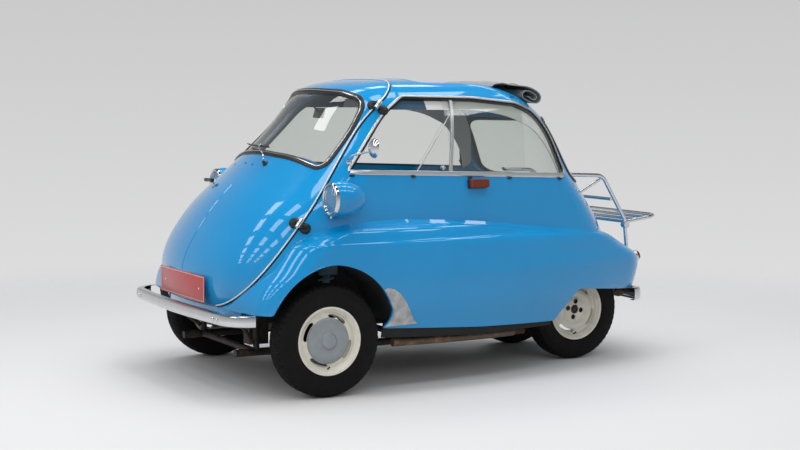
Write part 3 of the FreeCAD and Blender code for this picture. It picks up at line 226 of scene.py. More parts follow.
@dataclass(frozen=True)
class Clear(Finish):
    """Sheet glass: see-through, with a mirror-like face on its outer side only."""

    tint: str = "E9EFEE"
    milk: float = 0.0

    def surface(self, tree: Tree, place: Socket) -> Socket:
        """Transparent body and glossy face, so that light passes without caustics."""
        film = add_node(tree, "ShaderNodeTexNoise", {
            "Vector": place, "Scale": per_mm(90), "Detail": 4.0})
        haze = add_node(tree, "ShaderNodeMapRange", {
            "Value": film.outputs["Fac"], "From Min": 0.35, "From Max": 0.75,
            "To Min": 0.01, "To Max": 0.045})
        clear = add_node(tree, "ShaderNodeBsdfTransparent", {"Color": linear(self.tint)})
        dust = add_node(tree, "ShaderNodeBsdfDiffuse", {"Color": linear("D8DCDD")})
        body = add_node(tree, "ShaderNodeMixShader", {
            0: self.milk, 1: clear.outputs[0], 2: dust.outputs[0]})
        face = add_node(tree, "ShaderNodeBsdfGlossy", {
            "Color": linear("FFFFFF"), "Roughness": haze.outputs[0]})
        fresnel = add_node(tree, "ShaderNodeFresnel", {"IOR": self.ior})
        behind = add_node(tree, "ShaderNodeNewGeometry").outputs["Backfacing"]
        front = add_node(tree, "ShaderNodeMath", {0: 1.0, 1: behind}, operation="SUBTRACT")
        share = add_node(tree, "ShaderNodeMath", {0: fresnel.outputs[0], 1: front.outputs[0]},
                         operation="MULTIPLY")
        mixed = add_node(tree, "ShaderNodeMixShader", {
            0: share.outputs[0], 1: body.outputs[0], 2: face.outputs[0]})
        return mixed.outputs[0]


@dataclass(frozen=True)
class Lens(Finish):
    """Moulded lamp lens: coloured, part see-through, with flutes inside."""

    flute_mm: float = 4.0
    through: float = 0.6

    def extra(self, tree: Tree, shader: bpy.types.Node, place: Socket) -> None:
        """Lets light through and adds the flutes."""
        shader.inputs["Transmission Weight"].default_value = self.through
        flutes = add_node(tree, "ShaderNodeTexWave", {
            "Vector": place, "Scale": per_mm(self.flute_mm) / 6.2832, "Distortion": 0.0},
            bands_direction="Y")
        bump = add_node(tree, "ShaderNodeBump", {
            "Height": flutes.outputs["Fac"], "Strength": 0.5,
            "Distance": 0.15 * self.flute_mm * MM})
        tree.links.new(bump.outputs["Normal"], shader.inputs["Normal"])


@dataclass(frozen=True)
class Weathered(Finish):
    """Painted steel underneath the car, with rust and road dirt in patches."""

    rust: str = "5A3A24"
    rust_mm: float = 60.0

    def extra(self, tree: Tree, shader: bpy.types.Node, place: Socket) -> None:
        """Mixes rust into the colour, with a rougher face there."""
        spots = add_node(tree, "ShaderNodeTexNoise", {
            "Vector": place, "Scale": per_mm(self.rust_mm), "Detail": 8.0, "Roughness": 0.7})
        mask = add_node(tree, "ShaderNodeMapRange", {
            "Value": spots.outputs["Fac"], "From Min": 0.5, "From Max": 0.62})
        colour = mixed_colour(tree, mask.outputs[0], linear(self.colour), linear(self.rust))
        tree.links.new(colour, shader.inputs["Base Color"])
        rough = add_node(tree, "ShaderNodeMapRange", {
            "Value": mask.outputs[0], "To Min": self.rough, "To Max": 0.85})
        tree.links.new(rough.outputs[0], shader.inputs["Roughness"])


class Finishes(Enum):
    """Every finish on the car."""

    # Sprayed two-pack enamel: deep gloss with a faint orange peel and a slow drift in tone.
    PAINT = Finish("sprayed_enamel_blue", "0A84BE", 0.24, coat=1.0, coat_rough=0.02,
                   tone="148CC4", tone_mm=500, tone_share=0.6, relief_mm=6, relief=0.03,
                   rough_swing=0.03, ior=1.15)
    # Lining inside the cabin: dull teal ahead, the body's blue darkened as painted shade; pale grey
    # behind the seat.
    LINING = Finish("teal_lining_painted_shade", "2C4A5C", 0.85, tone="263F4F", tone_mm=120,
                    relief_mm=3, relief=0.4)
    HEADLINING = Finish("pale_lining_board", "C6C5C2", 0.9, tone="B9B8B5", tone_mm=90,
                        relief_mm=2, relief=0.4)
    # Plated steel: mirror-like, with faint polishing haze.
    CHROME = Finish("polished_chrome", "D4D6D8", 0.07, metal=1.0, tone="C4C7CA", tone_mm=60,
                    rough_swing=0.05)
    # Rolled aluminium trim, dulled by age.
    TRIM = Finish("rolled_aluminium", "D2D4D6", 0.34, metal=1.0, tone="C0C3C6", tone_mm=40,
                  relief_mm=1.5, relief=0.03, rough_swing=0.05)
    # Pale bead in the door's joint, part metal and part matt: its paleness is a painted highlight
    # that keeps it bright from every side.
    BEAD = Finish("joint_bead_painted_highlight", "DCDEDD", 0.3, metal=0.35, coat=0.4, tone="CDD0D0",
                  tone_mm=30)
    # Scuffed aluminium sheet behind the front wheels.
    GUARD = Finish("scuffed_aluminium_sheet", "B9BBBC", 0.42, metal=0.9, tone="8F8C88",
                   tone_mm=45, tone_share=0.9, relief_mm=4, relief=0.4, rough_swing=0.15)
    # Vulcanised tyre rubber: near black, with a brown-grey bloom.
    TYRE = Finish("vulcanised_tyre_rubber", "080808", 0.74, tone="12110F", tone_mm=35,
                  relief_mm=1.2, relief=0.35, rough_swing=0.1, ior=1.3)
    # Extruded door and window seals.
    SEAL = Finish("extruded_seal_rubber", "0C0C0D", 0.38, tone="17181A", tone_mm=25,
                  relief_mm=1.0, relief=0.2, rough_swing=0.08)
    # Enamel on the wheels: cream, a little chalky, with brake dust.
    WHEEL = Finish("stoved_enamel_cream", "D6D1C3", 0.34, coat=0.3, tone="BDB6A6", tone_mm=30,
                   tone_share=0.5, relief_mm=2, relief=0.15, rough_swing=0.08)
    # Hub caps painted a silver grey.
    CAP = Finish("silver_grey_cap_paint", "8E9397", 0.38, metal=0.35, tone="7F8488",
                 tone_mm=25, relief_mm=0.8, relief=0.15, rough_swing=0.06)
    # Under the car: black paint with rust.
    FRAME = Weathered("rusty_chassis_black", "1B1A19", 0.6, relief_mm=3, relief=0.5)
    PIPE = Weathered("weathered_brown_pipe", "4A3A2C", 0.5, rust="7A6048", rust_mm=40,
                     relief_mm=2, relief=0.4)
    # Wheel wells, sill boards and the panels' inner faces: near black as painted shade, with
    # patches of road dirt.
    WELL = Weathered("shaded_dirty_well_steel", "15171A", 0.8, rust="24221F", rust_mm=80,
                     relief_mm=4, relief=0.5)
    # Sand-cast engine alloy.
    CAST = Finish("sand_cast_alloy", "7E7F80", 0.6, metal=0.8, tone="5F5D59", tone_mm=50,
                  relief_mm=2.5, relief=0.8, rough_swing=0.1)
    # Side panes: nearly clear, with a trace of dust.
    GLASS = Clear("window_glass", "FFFFFF", ior=1.45, tint="FBFCFB", milk=0.01)
    # Windscreen and rear light: a stronger mirroring and twice the dust of the side panes.
    SHADED = Clear("greyed_window_glass", "FFFFFF", ior=1.6, tint="F6F8F6", milk=0.02)
    # Front strut and spring, grey-blue paint under dust.
    STRUT = Finish("dusty_strut_paint", "6A8C9C", 0.6, tone="4A6472", tone_mm=40, relief_mm=2,
                   relief=0.3)
    # The ground edge of a pane, which catches the light.
    GLASS_EDGE = Finish("ground_glass_edge", "B9C9C6", 0.5)
    # Headlamp glass: milkier than the windows.
    LAMP_GLASS = Clear("fluted_lamp_glass", "FFFFFF", ior=1.5, tint="F8FAFA", milk=0.06)
    # Side lamps: deep orange, a quarter see-through.
    AMBER = Lens("amber_lens_plastic", "7E2C0C", 0.18, flute_mm=4, through=0.25)
    # Tail lamps: dark red, a quarter see-through.
    RED = Lens("red_lens_plastic", "8A0A0A", 0.18, flute_mm=4, through=0.25)
    # Bright-dipped reflector bowl.
    REFLECTOR = Finish("silvered_reflector", "E6E8EA", 0.12, metal=1.0)
    # Blank plate on the nose: red enamel with a pale border.
    PLATE = Finish("red_plate_enamel", "A92F31", 0.35, coat=0.4, tone="B33B3A", tone_mm=60,
                   relief_mm=2, relief=0.05)
    BORDER = Finish("pale_plate_border", "D9D2CC", 0.4)
    # Woven seat cloth in a grey brown, and the roof's grey coated canvas.
    SEAT = Woven("woven_seat_cloth", "6E675B", 0.9, tone="5C5549", tone_mm=14, sheen=0.3,
                 thread_mm=2.4, depth=0.6)
    ROOF = Woven("coated_roof_canvas", "808386", 0.65, tone="6A6D70", tone_mm=60, sheen=0.2,
                 thread_mm=1.6, depth=0.35)
    # Ivory plastic of the steering wheel.
    IVORY = Finish("moulded_ivory_plastic", "D9D0B8", 0.3, coat=0.3, tone="CBC1A6", tone_mm=40)
    # Moulded black plastic: handle grip, wiper, roof straps and other small parts; on the nose
    # holes the black is painted shade.
    BLACK = Finish("black_plastic_and_hole_shade", "0E0E0F", 0.35, relief_mm=0.8, relief=0.2,
                   tone="161617", tone_mm=20)
    # Silvered glass of the mirrors.
    MIRROR = Finish("silvered_mirror_glass", "E8EAEC", 0.02, metal=1.0)


def look(finish: Finishes) -> bpy.types.Material:
    """The material of a finish."""
    return finish.value.material()


# ------------------------------------------------------------------ making meshes
def alone() -> None:
    """Leaves edit mode and deselects everything."""
    if bpy.context.object and bpy.context.object.mode != "OBJECT":
        bpy.ops.object.mode_set(mode="OBJECT")
    bpy.ops.object.select_all(action="DESELECT")


def pick(obj: Piece) -> Piece:
    """Makes one object the only selected and active one."""
    alone()
    obj.select_set(True)
    bpy.context.view_layer.objects.active = obj
    return obj


def from_arrays(name: str, points: np.ndarray, faces: Sequence[Sequence[int]],
                stuff: int | np.ndarray = OUTER) -> Piece:
    """Object from points and faces, every face with a material number."""
    mesh = bpy.data.meshes.new(name)
    mesh.from_pydata([tuple(p) for p in np.asarray(points, float)], [],
                     [tuple(int(i) for i in f) for f in faces])
    numbers = np.broadcast_to(np.asarray(stuff, np.int32), (len(mesh.polygons),))
    mesh.polygons.foreach_set("material_index", np.ascontiguousarray(numbers))
    obj = bpy.data.objects.new(name, mesh)
    bpy.context.scene.collection.objects.link(obj)
    return obj


def outward(obj: Piece, merge: float = 0.0) -> Piece:
    """Merges doubles, if asked, and turns every face outwards."""
    work = bmesh.new()
    work.from_mesh(obj.data)
    if merge:
        bmesh.ops.remove_doubles(work, verts=work.verts, dist=merge)
    bmesh.ops.recalc_face_normals(work, faces=work.faces)
    work.to_mesh(obj.data)
    work.free()
    return obj


def grid_faces(rows: int, sides: int, closed: bool = False) -> list[tuple]:
    """Faces between rows of points that close on themselves; closed joins last to first."""
    return [(i * sides + k, i * sides + (k + 1) % sides,
             (i + 1) % rows * sides + (k + 1) % sides, (i + 1) % rows * sides + k)
            for i in range(rows if closed else rows - 1) for k in range(sides)]


def swept(name: str, rows: np.ndarray, closed: bool = False, stuff: int = OUTER) -> Piece:
    """Closed mesh through rows of points in metres.

    Args:
        name: name of the mesh.
        rows: rows of points, each row round one section.
        closed: whether the last row meets the first; if not, both ends get a face.
        stuff: material number.

    Returns:
        The closed mesh.
    """
    count, sides = rows.shape[:2]
    faces = grid_faces(count, sides, closed)
    if not closed:
        faces += [tuple(range(sides)), tuple(range((count - 1) * sides, count * sides))]
    return outward(from_arrays(name, rows.reshape(-1, 3), faces, stuff))


def settle(obj: Piece) -> Piece:
    """Puts an object's place, turn and size into its mesh."""
    bpy.context.view_layer.update()
    obj.data.transform(obj.matrix_world)
    obj.matrix_world = Matrix.Identity(4)
    return obj


def apply_modifier(obj: Piece, kind: str, **settings: object) -> Piece:
    """Adds a modifier with its settings and applies it."""
    pick(obj)
    made = obj.modifiers.new(kind.title(), kind)
    for name, value in settings.items():
        setattr(made, name, value)
    bpy.ops.object.modifier_apply(modifier=made.name)
    return obj


def carve(obj: Piece, tool: Piece, how: str = "DIFFERENCE") -> Piece:
    """Cuts one closed mesh with another, keeping both sets of material numbers."""
    for one in (obj, tool):
        while len(one.data.materials) < 3:
            one.data.materials.append(None)
    apply_modifier(obj, "BOOLEAN", object=tool, operation=how, solver="MANIFOLD",
                   material_mode="INDEX")
    bpy.data.objects.remove(tool)
    return obj


def dress(obj: Piece, finishes: Sequence[Finishes], body: str,
          stands_for: Sequence[str] = (), angle: float = 35.0) -> Piece:
    """Gives a piece its finishes, shading and body, and hides the CAD nodes that it replaces.

    Args:
        obj: the finished piece, in place.
        finishes: one finish per material number.
        body: the body that it rides on.
        stands_for: CAD nodes that it replaces.
        angle: steepest edge in degrees that is shaded smooth.

    Returns:
        The piece.
    """
    numbers = np.zeros(len(obj.data.polygons), np.int32)
    obj.data.polygons.foreach_get("material_index", numbers)
    obj.data.materials.clear()
    for finish in finishes:
        obj.data.materials.append(look(finish))
    obj.data.polygons.foreach_set("material_index", np.minimum(numbers, len(finishes) - 1))
    pick(obj)
    bpy.ops.object.shade_smooth_by_angle(angle=math.radians(angle))
    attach(obj, body)
    if stands_for:
        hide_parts(*stands_for)
    log.info("%s: %d faces on %s", obj.name, len(obj.data.polygons), body)
    return obj


def joined(name: str, parts: Sequence[Piece]) -> Piece:
    """Several objects as one."""
    alone()
    for part in parts:
        part.select_set(True)
    bpy.context.view_layer.objects.active = parts[0]
    if len(parts) > 1:
        bpy.ops.object.join()
    parts[0].name = name
    return settle(parts[0])


def turned(name: str, profile: Outline, sides: int = 72, stuff: int = OUTER) -> Piece:
    """Piece turned about +Z: a circle is extruded and resized ring by ring.

    Args:
        name: name of the piece.
        profile: radius and height in millimetres; a radius of 0 closes an end.
        sides: points round it.
        stuff: material number.

    Returns:
        The turned piece, open between its ends unless the profile closes on itself.
    """
    alone()
    least = 0.02
    rows = [(max(r, least) * MM, z * MM) for r, z in profile]
    bpy.ops.mesh.primitive_circle_add(vertices=sides, radius=rows[0][0],
                                      location=(0, 0, rows[0][1]))
    obj = bpy.context.object
    bpy.ops.object.transform_apply(location=True)
    bpy.ops.object.mode_set(mode="EDIT")
    bpy.ops.mesh.select_all(action="SELECT")
    for (r0, z0), (r1, z1) in zip(rows, rows[1:]):
        bpy.ops.mesh.extrude_region_move(TRANSFORM_OT_translate={"value": (0, 0, z1 - z0)})
        bpy.ops.transform.resize(value=(r1 / r0, r1 / r0, 1))
    bpy.ops.mesh.select_all(action="SELECT")
    bpy.ops.mesh.remove_doubles(threshold=0.00006)
    bpy.ops.mesh.normals_make_consistent(inside=False)
    bpy.ops.object.mode_set(mode="OBJECT")
    obj.name = name
    for face in obj.data.polygons:
        face.material_index = stuff
    return obj


def aim(obj: Piece, place: Vector, axis: Vector) -> Piece:
    """Turns a piece's +Z to an axis and moves its origin to a place."""
    turn = Vector(axis).normalized().to_track_quat("Z", "Y").to_matrix().to_4x4()
    obj.matrix_world = Matrix.Translation(place) @ turn
    return settle(obj)


def bar(name: str, points: Sequence[Vector], radius: float, smooth: int = 8,
        sides: int = 16) -> Piece:
    """Round bar through points, its corners eased by a curve.

    Args:
        name: name of the piece.
        points: route in metres.
        radius: radius in millimetres.
        smooth: curve points for each stretch.
        sides: points round the bar.

    Returns:
        The bar as a mesh.
    """
    curve = bpy.data.curves.new(name, "CURVE")
    curve.dimensions = "3D"
    line = curve.splines.new("NURBS")
    line.points.add(len(points) - 1)
    for spot, point in zip(line.points, points):
        spot.co = (*point, 1.0)
    line.order_u = 3
    line.use_endpoint_u = True
    line.resolution_u = smooth
    curve.bevel_depth = radius * MM
    curve.bevel_resolution = max(sides // 4 - 1, 1)
    curve.use_fill_caps = True
    shell = bpy.data.objects.new(name, curve)
    bpy.context.scene.collection.objects.link(shell)
    pick(shell)
    bpy.ops.object.convert(target="MESH")
    return outward(settle(bpy.context.object), 1e-5)


def rounded_box(name: str, low: Vector, high: Vector, radius: float, segments: int = 4) -> Piece:
    """Box between two corners with every edge rounded."""
    alone()
    bpy.ops.mesh.primitive_cube_add(size=1, location=(low + high) / 2, scale=high - low)
    obj = settle(bpy.context.object)
    obj.name = name
    return apply_modifier(obj, "BEVEL", width=radius * MM, segments=segments,
                          limit_method="NONE")


# ------------------------------------------------------------------ body form
def spline(knots: np.ndarray, values: np.ndarray, where: np.ndarray) -> np.ndarray:
    """Natural cubic spline through values at knots, read at other places."""
    gap = np.diff(knots)
    count = len(knots)
    system, right = np.eye(count), np.zeros(count)
    for i in range(1, count - 1):
        system[i, i - 1:i + 2] = gap[i - 1], 2 * (gap[i - 1] + gap[i]), gap[i]
        right[i] = 3 * ((values[i + 1] - values[i]) / gap[i]
                        - (values[i] - values[i - 1]) / gap[i - 1])
    bend = np.linalg.solve(system, right)
    i = np.clip(np.searchsorted(knots, where) - 1, 0, count - 2)
    t = where - knots[i]
    slope = (values[i + 1] - values[i]) / gap[i] - gap[i] * (2 * bend[i] + bend[i + 1]) / 3
    return (values[i] + slope * t + bend[i] * t ** 2
            + (bend[i + 1] - bend[i]) / (3 * gap[i]) * t ** 3)


def lengths(points: np.ndarray) -> np.ndarray:
    """Length along a path up to each of its points."""
    return np.concatenate([[0.0], np.cumsum(np.linalg.norm(np.diff(points, axis=0), axis=1))])


def through(marks: Outline, count: int) -> tuple[np.ndarray, np.ndarray]:
    """Smooth line of even points through marks, and the length up to each point."""
    spots = np.array(marks, float)
    run = lengths(spots)
    where = np.linspace(0, run[-1], count)
    return np.stack([spline(run, spots[:, k], where) for k in (0, 1)], axis=1), where


def crossing(c1: tuple, r1: float, c2: tuple, r2: float, ahead: bool) -> tuple:
    """Crossing of two circles, the one ahead or behind."""
    dx, dy = c2[0] - c1[0], c2[1] - c1[1]
    d = math.hypot(dx, dy)
    along = (r1 * r1 - r2 * r2 + d * d) / (2 * d)
    up = math.sqrt(max(r1 * r1 - along * along, 0.0))
    px, py = c1[0] + along * dx / d, c1[1] + along * dy / d
    spots = ((px - up * dy / d, py + up * dx / d), (px + up * dy / d, py - up * dx / d))
    return max(spots) if ahead else min(spots)


def arc(centre: tuple, radius: float, start: tuple, end: tuple, steps: int) -> list[tuple]:
    """Points from start up to but not at end, on a circle, the short way round."""
    a = math.atan2(start[1] - centre[1], start[0] - centre[0])
    b = math.atan2(end[1] - centre[1], end[0] - centre[0])
    b = a + (b - a + math.pi) % (2 * math.pi) - math.pi
    turns = [a + (b - a) * i / steps for i in range(steps)]
    return [(centre[0] + radius * math.cos(t), centre[1] + radius * math.sin(t))
            for t in turns]


def toward(centre: tuple, beyond: tuple, radius: float) -> tuple:
    """Point of a circle in the direction of another point."""
    dx, dy = beyond[0] - centre[0], beyond[1] - centre[1]
    d = math.hypot(dx, dy)
    return centre[0] + dx / d * radius, centre[1] + dy / d * radius


SIDE_X = -150.0
# Level rows of the cabin: height, nose x, nose radius, front corner radius, side y, side
# slope in degrees, side radius (0 is straight), rear corner radius, tail radius, tail x.
CABIN_ROWS = (
    (262, 340, 1700, 300, 532, 3.0, 0, 200, 600, -1850),
    (340, 372, 1700, 300, 545, 3.0, 0, 200, 600, -1850),
    (430, 400, 1600, 300, 560, 3.5, 0, 200, 600, -1805),
    (515, 402, 1500, 300, 575, 4.0, 0, 200, 600, -1768),
    (610, 366, 1450, 300, 588, 4.6, 0, 200, 600, -1728),
    (700, 310, 1350, 300, 592, 5.0, 0, 190, 600, -1680),
    (770, 258, 1200, 290, 590, 5.2, 0, 180, 600, -1632),
    (850, 184, 1000, 280, 582, 5.2, 0, 170, 580, -1580),
    (930, 100, 900, 270, 569, 5.2, 0, 165, 560, -1530),
    (1030, 8, 760, 260, 545, 5.2, 0, 155, 540, -1476),
    (1130, -80, 660, 240, 512, 5.2, 0, 140, 500, -1420),
    (1210, -146, 640, 220, 476, 5.0, 0, 130, 460, -1346),
    (1270, -202, 620, 200, 430, 4.6, 0, 120, 420, -1258),
    (1305, -264, 600, 170, 385, 4.0, 0, 110, 380, -1160),
    (1330, -370, 500, 120, 310, 3.0, 0, 90, 330, -1005),
    (1342, -520, 350, 60, 190, 1.0, 0, 60, 200, -790),
)
# Level rows of the wings and tail, the same columns.
WING_ROWS = (
    (224, 352, 3000, 120, 640, -1.6, 3460, 200, 900, -1880),
    (285, 368, 3000, 120, 658, -0.8, 3900, 210, 900, -1893),
    (380, 368, 3000, 120, 682, -0.2, 4500, 220, 900, -1910),
    (430, 352, 3000, 120, 687, 0.0, 4700, 225, 900, -1920),
    (480, 322, 3000, 120, 690, 0.0, 4800, 230, 900, -1918),
    (515, 293, 3000, 125, 690, 0.3, 4900, 228, 890, -1885),
    (555, 260, 3000, 135, 688, 0.7, 5000, 225, 870, -1812),
    (600, 226, 3000, 140, 684, 1.1, 5200, 215, 820, -1742),
    (650, 176, 3000, 140, 673, 1.8, 4700, 180, 800, -1440),
    (690, 110, 2000, 130, 656, 2.2, 4400, 150, 800, -1080),
    (712, 30, 1200, 110, 628, 2.4, 4200, 100, 800, -800),
    (724, -60, 900, 80, 584, 2.4, 4200, 80, 800, -600),
)


class Form:
    """Smooth closed form through level rows of tangent arcs."""

    STEPS = (20, 18, 84, 14, 22)  # points on the nose, front corner, side, rear corner, tail
    CAP_RINGS = 12

    def __init__(self, rows: Sequence[Sequence[float]], levels: int, crown: float) -> None:
        """Works out the form's fine grid, its normals and a search tree.

        Args:
            rows: the level rows.
            levels: level rings of the fine grid.
            crown: rise in millimetres of the closing cap.
        """
        table = np.array(rows, float)
        knots = lengths(table[:, [0, 1, 4, 9]])
        fine = np.linspace(0, knots[-1], levels)
        smooth = np.stack([spline(knots, column, fine) for column in table.T], axis=1)
        rings = [self.ring(row) for row in smooth]
        last = rings[-1]
        middle = np.array([last[:, 0].mean(), 0.0, last[0, 2]])
        for k in range(1, self.CAP_RINGS):
            share = 1 - k / self.CAP_RINGS
            cap = middle + (last - middle) * share
            cap[:, 2] += crown * (1 - share ** 2)
            rings.append(cap)
        grid = np.array(rings)
        self.grid = (grid + [AXLE / MM, 0, 0]) * MM
        round_ = np.roll(self.grid, -1, 1) - np.roll(self.grid, 1, 1)
        rise = np.gradient(self.grid, axis=0)
        normal = np.cross(round_, rise)
        self.normals = normal / np.linalg.norm(normal, axis=2, keepdims=True)
        self.tree = BVHTree.FromPolygons([tuple(p) for p in self.grid.reshape(-1, 3)],
                                         grid_faces(*self.grid.shape[:2]))

    @classmethod
    def ring(cls, row: Sequence[float]) -> np.ndarray:
        """Points of one level ring, from the nose over the left side and back."""
        z, nose_x, nose_r, front_r, side_y, slope, side_r, rear_r, tail_r, tail_x = row
        side_r = side_r if side_r > 500 else 1.0e6
        turn = math.radians(slope)
        side = (SIDE_X + math.sin(turn) * side_r, side_y - math.cos(turn) * side_r)
        nose, tail = (nose_x - nose_r, 0.0), (tail_x + tail_r, 0.0)
        front = crossing(nose, nose_r - front_r, side, side_r - front_r, True)
        rear = crossing(tail, tail_r - rear_r, side, side_r - rear_r, False)
        j1, j2 = toward(nose, front, nose_r), toward(side, front, side_r)
        j3, j4 = toward(side, rear, side_r), toward(tail, rear, tail_r)
        half = arc(nose, nose_r, (nose_x, 0.0), j1, cls.STEPS[0])
        half += arc(front, front_r, j1, j2, cls.STEPS[1])
        half += arc(side, side_r, j2, j3, cls.STEPS[2])
        half += arc(rear, rear_r, j3, j4, cls.STEPS[3])
        half += arc(tail, tail_r, j4, (tail_x, 0.0), cls.STEPS[4])
        left = half + [(tail_x, 0.0)]
        right = [(x, -y) for x, y in reversed(half[1:])]
        return np.array([(x, y, z) for x, y in left + right])

    def solid(self, name: str, inset: float = 0.0, below: float = 0.0,
              stuff: int = OUTER) -> Piece:
        """Closed mesh of the form.

        Args:
            name: name of the mesh.
            inset: how far inside the form's face it lies, in millimetres.
            below: how far it runs on below the lowest ring, in millimetres.
            stuff: material number of its faces.

        Returns:
            The closed mesh.
        """
        rings = list(self.grid - self.normals * inset * MM)
        if below:
            rings.insert(0, rings[0] - [0, 0, below * MM])
        around = len(rings[0])
        points = np.concatenate(rings)
        count = len(points)
        ends = [rings[0].mean(0), rings[-1].mean(0)]
        points = np.concatenate([points, ends])
        faces = grid_faces(len(rings), around)
        top = (len(rings) - 1) * around
        for j in range(around):
            k = (j + 1) % around
            faces.append((count, k, j))
            faces.append((count + 1, top + j, top + k))
        return from_arrays(name, points, faces, stuff)

    def meet(self, start: Vector, way: Vector) -> tuple[Vector, Vector]:
        """Where a line from start meets the form's face, and the face's normal there."""
        spot, normal, _, _ = self.tree.ray_cast(start, Vector(way).normalized())
        if spot is None:
            raise ValueError(f"nothing in the way of {start}")
        return spot, normal

    def side(self, x: float, z: float, left: bool = True) -> tuple[Vector, Vector]:
        """Point and normal of the flank at a station x and height."""
        sign = 1 if left else -1
        return self.meet(at(x, sign * 1500, z), Vector((0, -sign, 0)))

    def front(self, y: float, z: float) -> tuple[Vector, Vector]:
        """Point and normal of the nose at a distance across and a height."""
        return self.meet(at(1500, y, z), Vector((-1, 0, 0)))

    def nearest(self, point: Vector) -> tuple[Vector, Vector]:
        """Nearest point of the face, and its normal."""
        spot, normal, _, _ = self.tree.find_nearest(point)
        return spot, normal


def eased(points: Sequence[Sequence[float]], radii: Sequence[float],
          steps: int = 14) -> list[tuple[float, float]]:
    """Closed outline through corners, each rounded by its radius."""
    out: list[tuple[float, float]] = []
    corners = [Vector(p) for p in points]
    for i, corner in enumerate(corners):
        before, after = corners[i - 1], corners[(i + 1) % len(corners)]
        u, v = (before - corner).normalized(), (after - corner).normalized()
        if radii[i] <= 0:
            out.append(tuple(corner))
            continue
        half = u.angle(v) / 2
        run = radii[i] / math.tan(half)
        middle = corner + (u + v).normalized() * (radii[i] / math.sin(half))
        a, b = corner + u * run, corner + v * run
        out += arc(tuple(middle), radii[i], tuple(a), tuple(b), steps)
        out.append(tuple(b))
    return out


class Plane(Enum):
    """View of a prism's outline (u, v): which of u, v and the depth go to x, y and z."""

    SIDE = (0, 2, 1)
    FRONT = (2, 0, 1)
    TOP = (0, 1, 2)


def prism(name: str, outline: Sequence[Sequence[float]], plane: Plane, low: float,
          high: float) -> Piece:
    """Closed prism from an outline in millimetres, for cutting."""
    count = len(outline)
    points = [at(*((u, v, depth)[k] for k in plane.value))
              for depth in (low, high) for u, v in outline]
    faces: list[tuple] = [tuple(range(count)), tuple(range(2 * count - 1, count - 1, -1))]
    faces += [(i, count + i, count + (i + 1) % count, (i + 1) % count) for i in range(count)]
    return outward(from_arrays(name, points, faces, EDGE))


def slab(name: str, low: tuple, high: tuple) -> Piece:
    """Box between two corners in millimetres, for cutting."""
    outline = [(low[0], low[2]), (high[0], low[2]), (high[0], high[2]), (low[0], high[2])]
    return prism(name, outline, Plane.SIDE, low[1], high[1])


def drum(name: str, x: float, z: float, radius: float, y0: float, y1: float,
         sides: int = 128) -> Piece:
    """Cylinder across the car, for cutting."""
    ring = [(x + radius * math.cos(2 * math.pi * i / sides),
             z + radius * math.sin(2 * math.pi * i / sides)) for i in range(sides)]
    return prism(name, ring, Plane.SIDE, y0, y1)


def rims(obj: Piece) -> list[np.ndarray]:
    """Closed loops of edges where the outer face meets a cut edge, longest first."""
    work = bmesh.new()
    work.from_mesh(obj.data)
    bmesh.ops.remove_doubles(work, verts=work.verts, dist=2e-5)
    follow: dict[int, list[int]] = {}
    for edge in work.edges:
        if len(edge.link_faces) == 2:
            kinds = {f.material_index for f in edge.link_faces}
            if kinds == {OUTER, EDGE}:
                a, b = (v.index for v in edge.verts)
                follow.setdefault(a, []).append(b)
                follow.setdefault(b, []).append(a)
    work.verts.ensure_lookup_table()
    spots = [tuple(v.co) for v in work.verts]
    work.free()
    loops, seen = [], set()
    for start in follow:
        if start in seen:
            continue
        loop, here = [], start
        while here is not None:
            seen.add(here)
            loop.append(spots[here])
            here = next((n for n in follow[here] if n not in seen), None)
        if len(loop) > 8:
            loops.append(np.array(loop))
    return sorted(loops, key=lambda l: -np.linalg.norm(l - np.roll(l, 1, 0), axis=1).sum())


def even(path: np.ndarray, step: float, closed: bool = True, rounds: int = 3) -> np.ndarray:
    """Path read at even steps in millimetres and eased a little."""
    points = np.concatenate([path, path[:1]]) if closed else path
    run = lengths(points)
    count = max(int(run[-1] / (step * MM)), 8)
    where = np.linspace(0, run[-1], count, endpoint=not closed)
    out = np.stack([np.interp(where, run, points[:, k]) for k in range(3)], axis=1)
    for _ in range(rounds):
        smooth = (np.roll(out, 1, 0) + 2 * out + np.roll(out, -1, 0)) / 4
        if not closed:
            smooth[0], smooth[-1] = out[0], out[-1]
        out = smooth
    return out


def moulding(name: str, path: np.ndarray, form: Form, section: Outline,
             closed: bool = True) -> Piece:
    """Section swept along a path on the body's face.

    Args:
        name: name of the piece.
        path: points on or near the face, in metres.
        form: form whose normals the section stands on.
        section: closed outline in millimetres: sideways, positive to the inside of a
            closed path, and up from the face.
        closed: whether the path closes on itself.

    Returns:
        The moulding.
    """
    ahead, behind = np.roll(path, -1, 0), np.roll(path, 1, 0)
    if not closed:
        ahead[-1], behind[0] = path[-1], path[0]
    along = ahead - behind
    along /= np.linalg.norm(along, axis=1, keepdims=True)
    up = np.array([form.nearest(Vector(p))[1] for p in path])
    if closed:
        for _ in range(2):
            up = np.roll(up, 1, 0) + 2 * up + np.roll(up, -1, 0)
            up /= np.linalg.norm(up, axis=1, keepdims=True)
    across = np.cross(up, along)
    across /= np.linalg.norm(across, axis=1, keepdims=True)
    up = np.cross(along, across)
    if closed and (across * (path.mean(0) - path)).sum() < 0:
        across = -across
    return swept(name, np.array([[p + (a * s + u * h) * MM for s, h in section]
                                 for p, a, u in zip(path, across, up)]), closed)


def bead(radius: float, side: float = 0.0, up: float = 0.0, sides: int = 10,
         flat: float = 1.0) -> list[tuple[float, float]]:
    """Round or oval section about a point."""
    return [(side + radius * math.cos(2 * math.pi * i / sides),
             up + flat * radius * math.sin(2 * math.pi * i / sides)) for i in range(sides)]


# ------------------------------------------------------------------ body
SEAM_STEPS = 90


